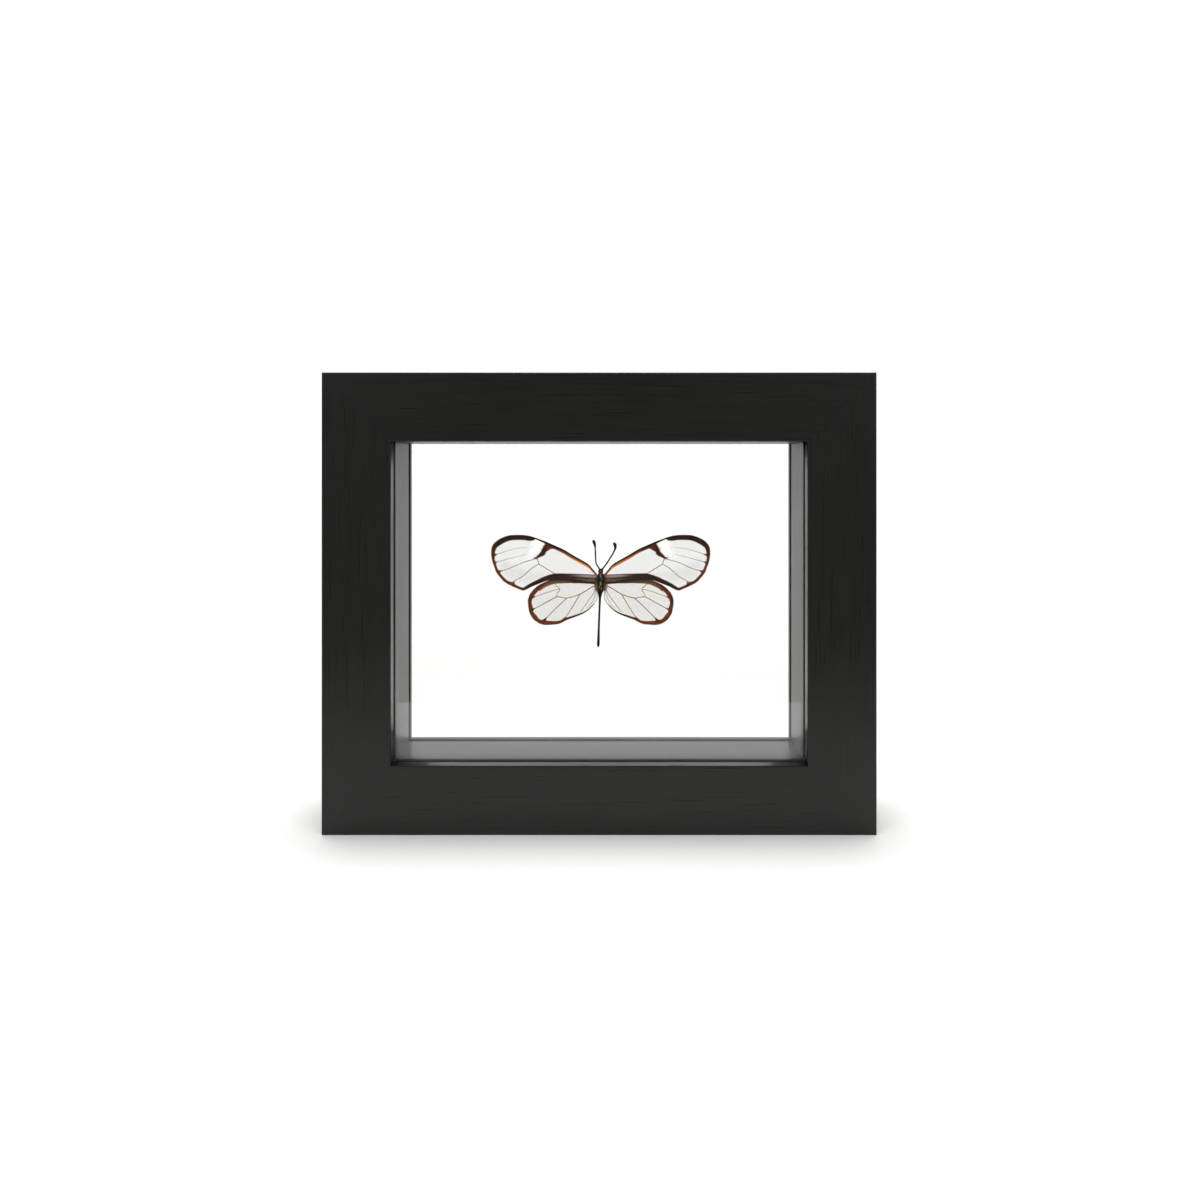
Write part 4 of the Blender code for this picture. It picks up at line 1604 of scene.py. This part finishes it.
@dataclass
class Body:
    """Head, thorax and abdomen, with eyes, palps, proboscis, legs and fur.

    Its own places are millimetres from the thorax's middle: sideways, up, and towards the back.
    The insect's back faces the front, and its legs are folded out of sight behind it.
    """

    setting: Setting
    steps: int = 28
    thorax: tuple[Point, ...] = (
        (-3.1, 0.0), (-3.02, 0.36), (-2.6, 0.62), (-2.0, 0.78), (-1.0, 0.88), (0.0, 0.89), (0.6, 0.83),
        (0.95, 0.66), (1.15, 0.38), (1.2, 0.0),
    )
    abdomen: tuple[Point, ...] = (
        (-16.2, 0.0), (-16.12, 0.14), (-15.7, 0.26), (-15.0, 0.28), (-14.2, 0.265), (-12.0, 0.215),
        (-8.0, 0.205), (-6.0, 0.215), (-4.8, 0.25), (-4.1, 0.33), (-3.6, 0.45), (-3.1, 0.56), (-2.7, 0.56),
        (-2.5, 0.0),
    )
    lean: tuple[Point, ...] = (
        (-16.2, -0.6), (-12.6, -0.49), (-9.2, -0.37), (-5.8, -0.24), (-3.7, -0.16), (-2.7, -0.06),
        (0.9, 0.02), (2.3, -0.03),
    )
    head: tuple[Point, ...] = (
        (1.02, 0.0), (1.06, 0.26), (1.25, 0.4), (1.6, 0.46), (1.9, 0.44), (2.14, 0.32), (2.26, 0.12),
        (2.28, 0.0),
    )
    head_middle: float = -0.03
    segments: int = 9
    segmented: float = 12.6
    waist: float = 3.4
    groove: float = 0.14
    pale_streaks: tuple[Mark, ...] = tuple(
        Mark(route, colours, soft=0.05)
        for route, colours in (
            (((0.0, 1.25, 0.09), (-0.03, 0.85, 0.14), (0.05, 0.45, 0.08)), ("e0ddd2", "c9c6b6", "a8a596")),
            (((-0.42, 0.5, 0.08), (-0.5, 0.05, 0.08)), ("74797c", "5c6062")),
            (((0.18, 0.15, 0.07), (0.27, -0.2, 0.07)), ("8a8770", "6d6a56")),
            (((-0.12, -0.55, 0.1), (0.0, -1.0, 0.14), (-0.05, -1.45, 0.1)), ("b0b4a8", "c9cbbc", "9a998a")),
            (((-0.35, -1.55, 0.1), (-0.25, -2.0, 0.09)), ("a39888", "8b7f6c")),
            (((0.14, -1.8, 0.12), (0.05, -2.5, 0.1)), ("a5927a", "6d5c4a")),
            (((0.5, -2.0, 0.11), (0.62, -2.4, 0.12)), ("a08c74", "bda690")),
            (((0.48, 0.55, 0.05), (0.55, 0.1, 0.06)), ("5f5a48",)),
        )
    )
    flanks: tuple[Mark, ...] = tuple(
        Mark(
            tuple(
                (side * out, up, reach)
                for out, up, reach in (
                    (0.86, 0.6, 0.1), (0.95, 0.0, 0.22), (0.95, -1.0, 0.3), (0.8, -2.3, 0.28)
                )
            ),
            ("55422f", "7b6247", "8f765a", "7c6750"),
            soft=0.1,
        )
        for side in (-1, 1)
    )
    collar: Mark = Mark(
        ((-0.12, 1.92, 0.12), (-0.03, 1.74, 0.2), (0.0, 1.55, 0.1)),
        ("b8642a", "d07a34", "a04a1e"),
        soft=0.06,
    )
    fur: Scatter = Scatter(Growth.HAIR, 0.052 * MM, 0.36 * MM, 0.032 * MM, (6, 30), 20, curl=-0.2, seed=7)
    tufts: Scatter = Scatter(Growth.HAIR, 0.055 * MM, 0.85 * MM, 0.034 * MM, (10, 48), 34, curl=-0.12, seed=8)
    nape: Scatter = Scatter(Growth.HAIR, 0.05 * MM, 0.22 * MM, 0.028 * MM, (20, 60), 25, curl=-0.1, seed=9)
    bloom: Scatter = Scatter(Growth.SCALE, 0.085 * MM, 0.15 * MM, 0.07 * MM, (3, 14), 20, seed=12)
    legs: tuple[tuple[Point, ...], ...] = (
        ((0.3, -0.2, 0.6), (0.78, 0.55, 1.2), (0.62, -0.7, 1.58), (0.36, -1.8, 1.66)),
        ((0.28, -1.1, 0.62), (0.74, -0.25, 1.35), (0.56, -1.75, 1.62), (0.22, -2.9, 1.6)),
    )
    leg_stops: tuple[float, ...] = (0.0, 0.16, 0.31, 0.34, 0.6, 0.66, 0.69, 0.97, 1.0)
    leg_radii: tuple[float, ...] = (0.05, 0.085, 0.055, 0.06, 0.042, 0.04, 0.032, 0.026, 0.008)

    def to_world(self, places: Array) -> Array:
        """Turns rows of (sideways, up, towards the back) in millimetres to metres in the frame."""
        centre = self.setting.thorax
        return np.column_stack([
            centre.x + places[:, 0] * SPREAD, centre.y + places[:, 2] * SPREAD,
            centre.z + places[:, 1] * SPREAD,
        ])

    def from_world(self, mesh: bpy.types.Mesh) -> Array:
        """A mesh's vertices as rows of (sideways, up, towards the back)."""
        offset = (vertices_of(mesh) - np.array(self.setting.thorax)) / SPREAD
        return offset[:, [0, 2, 1]]

    def turned(
        self, name: str, profile: Array, shaping: Callable[[Array], Array]
    ) -> bpy.types.Mesh:
        """Spins a profile round the body's length and leans it as the body leans.

        Args:
            name: the mesh's name.
            profile: rows of (up, radius), from one pole to the other.
            shaping: changes rows of (sideways, up, back) before they are placed.

        Returns:
            The closed mesh.
        """
        rim = [(max(radius, 0.0), 0.0, up) for up, radius in profile]
        bm = spun(rim, (0, 0, 1), self.steps, 1e-5)
        places = shaping(np.array([(vert.co.x, vert.co.z, vert.co.y) for vert in bm.verts]))
        heights, shifts = zip(*self.lean)
        places[:, 0] += np.interp(places[:, 1], heights, shifts)
        for vert, place in zip(bm.verts, self.to_world(places)):
            vert.co = place
        return mesh_of(name, bm, 80.0)

    def thorax_mesh(self) -> bpy.types.Mesh:
        """Models the thorax: humped between the wings, with shallow plates on its back."""

        def shaping(places: Array) -> Array:
            """Raises the plates of the back and sinks the groove between them."""
            side, up, back = places.T
            dorsal = smoothstep(0.1, -0.6, back)
            plate = 0.05 * np.cos(side * 5.2) * dorsal + 0.035 * np.cos(up * 3.4 + 0.6) * dorsal
            size = 1 + plate - 0.05 * np.exp(-((side / 0.06) ** 2)) * dorsal
            return np.column_stack([side * size, up, back * size * 1.02])

        return self.turned("butterfly_thorax", smooth_curve(self.thorax, 44), shaping)

    def abdomen_mesh(self) -> bpy.types.Mesh:
        """Models the dried abdomen, pinched at the joints of its segments."""
        profile = smooth_curve(self.abdomen, 230)
        up, radius = profile.T
        phase = ((up + self.waist) / (self.segmented / self.segments)) % 1.0
        jointed = smoothstep(-3.0, -3.6, up)
        pinch = np.exp(-((np.minimum(phase, 1 - phase) / 0.07) ** 2)) * self.groove
        radius = radius * (1 - jointed * pinch + jointed * 0.06 * np.sin(phase * math.pi))
        profile = np.column_stack([up, radius])

        def shaping(places: Array) -> Array:
            """Gives the abdomen its keels and lets it sag towards the back pane."""
            side, height, back = places.T
            keel = 1 + 0.12 * np.cos(2 * np.arctan2(back, side))
            droop = 0.28 * smoothstep(-2.6, -7.0, height)
            return np.column_stack([side * keel, height, back * keel + droop])

        return self.turned("butterfly_abdomen", profile, shaping)

    def head_mesh(self) -> bpy.types.Mesh:
        """Models the head, slightly flattened from front to back."""
        profile = smooth_curve(self.head, 26)
        return self.turned("butterfly_head", profile, lambda places: places * np.array([1.0, 1.0, 0.9]))

    def eye_mesh(self) -> bpy.types.Mesh:
        """Models both bulging eyes."""
        bm = bmesh.new()
        for side in (-1, 1):
            eye = bmesh.ops.create_icosphere(bm, subdivisions=4, radius=1.0)["verts"]
            bmesh.ops.scale(bm, vec=(0.28 * MM, 0.36 * MM, 0.4 * MM), verts=eye)
            centre = self.to_world(np.array([[self.head_middle + side * 0.33, 1.66, -0.06]]))[0]
            bmesh.ops.translate(bm, vec=Vector(centre), verts=eye)
        return mesh_of("butterfly_eyes", bm, 80.0)

    def mouth_mesh(self) -> bpy.types.Mesh:
        """Models the two palps and the coiled proboscis below them."""
        routes = []
        palp_steps, coil_steps = 18, 110
        for side in (-1, 1):
            knots = [
                (self.head_middle + side * out, up, back)
                for out, up, back in ((0.13, 1.95, 0.1), (0.17, 2.3, -0.08), (0.15, 2.45, -0.2))
            ]
            share = np.linspace(0, 1, palp_steps)
            radii = np.interp(share, (0, 0.5, 0.85, 1), (0.07, 0.1, 0.07, 0.015)) * MM
            routes.append((self.to_world(smooth_curve(knots, palp_steps)), radii))
        turns = np.linspace(0, 2.6 * math.tau, coil_steps)
        reach = np.linspace(0.27, 0.07, coil_steps)
        middle = np.full(coil_steps, self.head_middle)
        coil = np.column_stack([middle, 1.75 + reach * np.cos(turns), 0.55 + reach * np.sin(turns)])
        routes.append((self.to_world(coil), np.linspace(0.036, 0.02, coil_steps) * MM))
        return tube_mesh("butterfly_mouthparts", routes, 8)

    def leg_mesh(self) -> bpy.types.Mesh:
        """Models the folded legs: thigh, shin and jointed foot."""
        routes = []
        for side in (-1, 1):
            for leg in self.legs:
                knots = [(side * point[0], point[1], point[2]) for point in leg]
                lengths = [
                    np.linspace(start, end, 12, endpoint=False) for start, end in zip(knots, knots[1:])
                ]
                route = np.vstack([*lengths, np.array(knots[-1:])])
                radii = np.interp(np.linspace(0, 1, len(route)), self.leg_stops, self.leg_radii)
                routes.append((self.to_world(route), radii * MM))
        return tube_mesh("butterfly_legs", routes, 8)

    def paint(self, mesh: bpy.types.Mesh, ground: str, marks: Sequence[Mark], furred: float) -> None:
        """Stores pigment, density and lay for fur on a part of the body.

        Args:
            mesh: the part.
            ground: the colour where there is no mark.
            marks: coloured marks, seen from the insect's back.
            furred: the share of the fur that grows where there is no mark.
        """
        places = self.from_world(mesh)
        pigment = plain_tint(ground, len(places))
        density = np.full(len(places), furred)
        for mark in marks:
            _, weight, tint = mark.measure(places[:, :2])
            pigment = covered(pigment, tint, weight)
            density = np.maximum(density, weight)
        outward = np.sign(places[:, 0]) * np.clip(np.abs(places[:, 0]) * 0.7, 0, 0.6)
        lay = np.column_stack([outward, np.zeros(len(places)), np.full(len(places), -1.0)])
        store(mesh, pigment=pigment, density=density, lay=lay, shade=np.full(len(places), 0.5))

    def build(self, hair: bpy.types.Material) -> None:
        """Builds the body's pieces.

        Args:
            hair: the material of hair and scales.
        """
        shell = Cuticle("dark thorax cuticle", "080706", "161412").build()
        horn = Cuticle("brown leg and mouthpart cuticle", "2a1d14", "4a3524", roughness=0.38).build()
        lens = Cuticle(
            "polished eye cuticle", "0e0b0a", "2a1c14", roughness=0.2, pit_size=0.03 * MM, relief=0.004 * MM
        ).build()
        tail = Cuticle("dried abdomen cuticle", "080504", "170f0a", roughness=0.6, specular=0.08).build()
        thorax, abdomen, head = self.thorax_mesh(), self.abdomen_mesh(), self.head_mesh()
        self.paint(thorax, "0b0907", self.flanks, 0.0)
        tufts = self.tufts.grow("butterfly_flank_tufts", thorax)
        self.paint(thorax, "0b0907", self.pale_streaks, 0.6)
        self.paint(head, "0c0907", (self.collar,), 0.45)
        self.paint(abdomen, "120b07", (), 0.7)
        pieces = (
            ("thorax_fur", self.fur.grow("butterfly_thorax_fur", thorax), hair),
            ("flank_tufts", tufts, hair),
            ("head_fur", self.nape.grow("butterfly_head_fur", head), hair),
            ("abdomen_scales", self.bloom.grow("butterfly_abdomen_scales", abdomen), hair),
            ("head", head, shell),
            ("abdomen", abdomen, tail),
            ("eyes", self.eye_mesh(), lens),
            ("mouthparts", self.mouth_mesh(), horn),
            ("legs", self.leg_mesh(), horn),
        )
        ride_as_piece(add_mesh("butterfly_thorax", thorax, shell), ["butterfly_body"])
        for kind, mesh, finish in pieces:
            ride_as_piece(add_mesh(f"butterfly_{kind}", mesh, finish))
            LOG.info("butterfly %s: %d faces", kind, len(mesh.polygons))


@dataclass
class Antennae:
    """The two ringed antennae, each ending in a hooked club."""

    setting: Setting
    routes: dict[str, tuple[Point, ...]] = field(default_factory=lambda: {
        "left": (
            (-0.22, 2.05, -0.05), (-0.48, 2.6, -0.25), (-0.9, 3.22, -0.4), (-1.16, 4.1, -0.5),
            (-1.22, 5.8, -0.6), (-1.33, 7.6, -0.55), (-1.42, 8.1, -0.5), (-1.57, 8.6, -0.45),
            (-1.84, 9.12, -0.4),
        ),
        "right": (
            (0.3, 2.05, -0.05), (0.7, 2.65, -0.25), (1.22, 3.33, -0.4), (1.86, 4.3, -0.5), (2.7, 5.65, -0.6),
            (3.26, 6.75, -0.55), (3.43, 7.35, -0.5), (3.34, 7.95, -0.45), (2.98, 8.52, -0.4),
        ),
    })
    stem: float = 0.18
    club: float = 0.4
    rings: int = 36
    points_per_ring: int = 6

    def build(self) -> None:
        """Builds each antenna in place of its CAD node."""
        finish = Cuticle("black antenna cuticle", "060505", "100e0d").build()
        body = Body(self.setting)
        steps = self.rings * self.points_per_ring
        share = np.linspace(0, 1, steps)
        size = np.interp(
            share,
            (0.0, 0.015, 0.04, 0.74, 0.8, 0.86, 0.94, 0.985, 1.0),
            (1.5 * self.stem, 1.7 * self.stem, self.stem, self.stem, 1.5 * self.stem, 0.85 * self.club,
             self.club, 0.55 * self.club, 0.15 * self.club),
        )
        size = size * (1 + 0.06 * np.cos(share * self.rings * math.tau))
        for place, route in self.routes.items():
            line = body.to_world(smooth_curve(route, steps))
            mesh = tube_mesh(f"antenna_{place}_ringed", [(line, size * MM)], 10)
            ride_as_piece(add_mesh(f"antenna_{place}_ringed", mesh, finish), [f"antenna_{place}"])
            LOG.info("antenna %s", place)


@dataclass
class GlueDot:
    """The dot of glue between the insect's underside and the back pane."""

    setting: Setting
    profile: tuple[Point, ...] = (
        (0.0, 0.62), (0.5, 0.62), (0.62, 0.8), (0.52, 1.1), (0.56, 1.5), (0.78, 1.85), (1.0, 1.985),
        (1.0, 1.995), (0.0, 1.995),
    )
    steps: int = 32

    def build(self) -> None:
        """Spins the dot's waisted profile, as (radius, distance behind the thorax's middle)."""
        rim = [(radius * MM, back * MM, 0.0) for radius, back in self.profile]
        bm = spun(rim, (0, 1, 0), self.steps, 1e-8)
        place = self.setting.thorax - Vector((0, 0, GLUE_BELOW * MM))
        bmesh.ops.translate(bm, vec=place, verts=bm.verts)
        dot = add_mesh("glue_dot_dried", mesh_of("glue_dot_dried", bm, 50.0), ClearGlue().build())
        ride_as_piece(dot, ["glue_dot"])
        LOG.info("glue dot")


# ---------------------------------------------------------------- studio


@dataclass(frozen=True)
class SoftLight:
    """An even light from one direction.

    Azimuth is in degrees from the front towards +X, elevation above the floor, and spread is
    how wide the light looks. Strength is its irradiance in watts per square metre.
    """

    name: str
    strength: float
    spread: float
    azimuth: float
    elevation: float

    def build(self) -> None:
        """Adds the light."""
        data = bpy.data.lights.new(self.name, "SUN")
        data.energy, data.angle = self.strength, math.radians(self.spread)
        lamp = bpy.data.objects.new(self.name, data)
        turn, rise = math.radians(self.azimuth), math.radians(self.elevation)
        towards = Vector((math.sin(turn) * math.cos(rise), -math.cos(turn) * math.cos(rise), math.sin(rise)))
        lamp.rotation_euler = towards.to_track_quat("Z", "Y").to_euler()
        bpy.context.scene.collection.objects.link(lamp)


@dataclass
class Studio:
    """Plain pale floor, soft lights, a white backdrop that is dim at the front, and the camera."""

    floor_size: float = 6.0
    floor_before: float = 115 * MM
    floor_colour: str = "e8e8e7"
    camera_distance: float = 216.4 * MM
    camera_x: float = 2.2 * MM
    camera_height: float = 79.5 * MM
    lens: float = 30.08
    sensor: float = 36.0
    shift: tuple[float, float] = (-0.00775, -0.1107)
    surround: tuple[tuple[float, float], ...] = ((0.0, 0.95), (0.28, 1.4), (0.5, 1.1), (0.8, 0.5))
    backdrop: float = 1.26
    front: float = 0.03
    front_edge: tuple[float, float] = (-0.15, 0.45)
    lights: tuple[SoftLight, ...] = (
        SoftLight("overhead softbox", 1.95, 18, 180, 85),
        SoftLight("left softbox", 1.5, 40, -38, 25),
        SoftLight("right softbox", 1.5, 40, 38, 25),
    )

    def add_camera(self) -> None:
        """Adds the level camera, shifted down to frame the object."""
        data = bpy.data.cameras.new("camera")
        data.lens, data.sensor_width = self.lens, self.sensor
        data.shift_x, data.shift_y = self.shift
        data.clip_start = 5 * MM
        camera = bpy.data.objects.new("camera", data)
        camera.location = (self.camera_x, CAD_BOX[0].y - self.camera_distance, self.camera_height)
        camera.rotation_euler = (math.pi / 2, 0, 0)
        bpy.context.scene.collection.objects.link(camera)
        bpy.context.scene.camera = camera

    def add_floor(self) -> None:
        """Adds the floor, which ends just before the frame so that the panes mirror the dim front."""
        material, node = empty_material("matt white paper floor")
        shader = node(
            "ShaderNodeBsdfPrincipled",
            {"Base Color": rgba(self.floor_colour), "Roughness": 0.9, "Specular IOR Level": 0.1},
        )
        node("ShaderNodeOutputMaterial", {0: shader.outputs[0]})
        bm = bmesh.new()
        bmesh.ops.create_grid(bm, x_segments=1, y_segments=1, size=self.floor_size / 2)
        front = CAD_BOX[0].y - self.floor_before
        bmesh.ops.translate(bm, vec=(0, front + self.floor_size / 2, 0), verts=bm.verts)
        add_mesh("floor", mesh_of("floor", bm), material)

    def add_world(self) -> None:
        """Adds a white surround that is dim towards the front, so the glass mirrors little.

        What the camera sees straight or through the panes is a brighter, even white.
        """
        world = bpy.data.worlds.new("white studio")
        bpy.context.scene.world = world
        world.use_nodes = True
        world.node_tree.nodes.clear()
        node = partial(add_node, world.node_tree)
        way = node("ShaderNodeTexCoord").outputs["Generated"]
        forward = node(
            "ShaderNodeVectorMath", {0: way, 1: (0.0, -1.0, 0.0)}, operation="DOT_PRODUCT"
        ).outputs["Value"]
        height = node("ShaderNodeSeparateXYZ", {"Vector": way}).outputs["Z"]
        surround = node("ShaderNodeValToRGB", {"Fac": height})
        ramp = surround.color_ramp.elements
        while len(ramp) < len(self.surround):
            ramp.new(0.5)
        for stop, (position, grey) in zip(ramp, self.surround):
            stop.position, stop.color = position, (grey, grey, grey, 1.0)
        level = node(
            "ShaderNodeMapRange",
            {"Value": forward, "From Min": self.front_edge[0], "From Max": self.front_edge[1],
             "To Min": surround.outputs[0], "To Max": self.front},
            interpolation_type="SMOOTHSTEP",
        ).outputs[0]
        path = node("ShaderNodeLightPath").outputs
        unbent = node(
            "ShaderNodeMath",
            {0: path["Ray Depth"], 1: path["Transmission Depth"], 2: 1.5},
            operation="COMPARE",
        ).outputs[0]
        seen = node(
            "ShaderNodeMath", {0: path["Is Camera Ray"], 1: path["Is Transmission Ray"]}, operation="ADD"
        ).outputs[0]
        direct = node("ShaderNodeMath", {0: unbent, 1: seen}, operation="MULTIPLY").outputs[0]
        strength = node("ShaderNodeMix", {0: direct, 2: level, 3: self.backdrop}).outputs[0]
        background = node("ShaderNodeBackground", {"Color": (1, 1, 1, 1), "Strength": strength})
        node("ShaderNodeOutputWorld", {0: background.outputs[0]})

    def build(self) -> None:
        """Builds the whole studio."""
        bpy.context.scene.view_settings.view_transform = "Standard"
        self.add_camera()
        self.add_floor()
        self.add_world()
        for light in self.lights:
            light.build()
        LOG.info("studio ready")


def main() -> None:
    """Builds the pieces in order."""
    logging.basicConfig(level=logging.INFO, format="%(name)s: %(message)s")
    Studio().build()
    MitredFrame().build()
    GlassPanes().build()
    setting = Setting.from_frame()
    skin = WingSkin().build()
    coat = ScaleCoat("wing scales and veins").build()
    hair = ScaleCoat("insect hair", roughness=0.5).build()
    for design in (HINDWING, FOREWING):
        for side in Side:
            Wing(design, side, setting).build(skin, coat, hair)
    Body(setting).build(hair)
    Antennae(setting).build()
    GlueDot(setting).build()


if __name__ == "__main__":
    main()
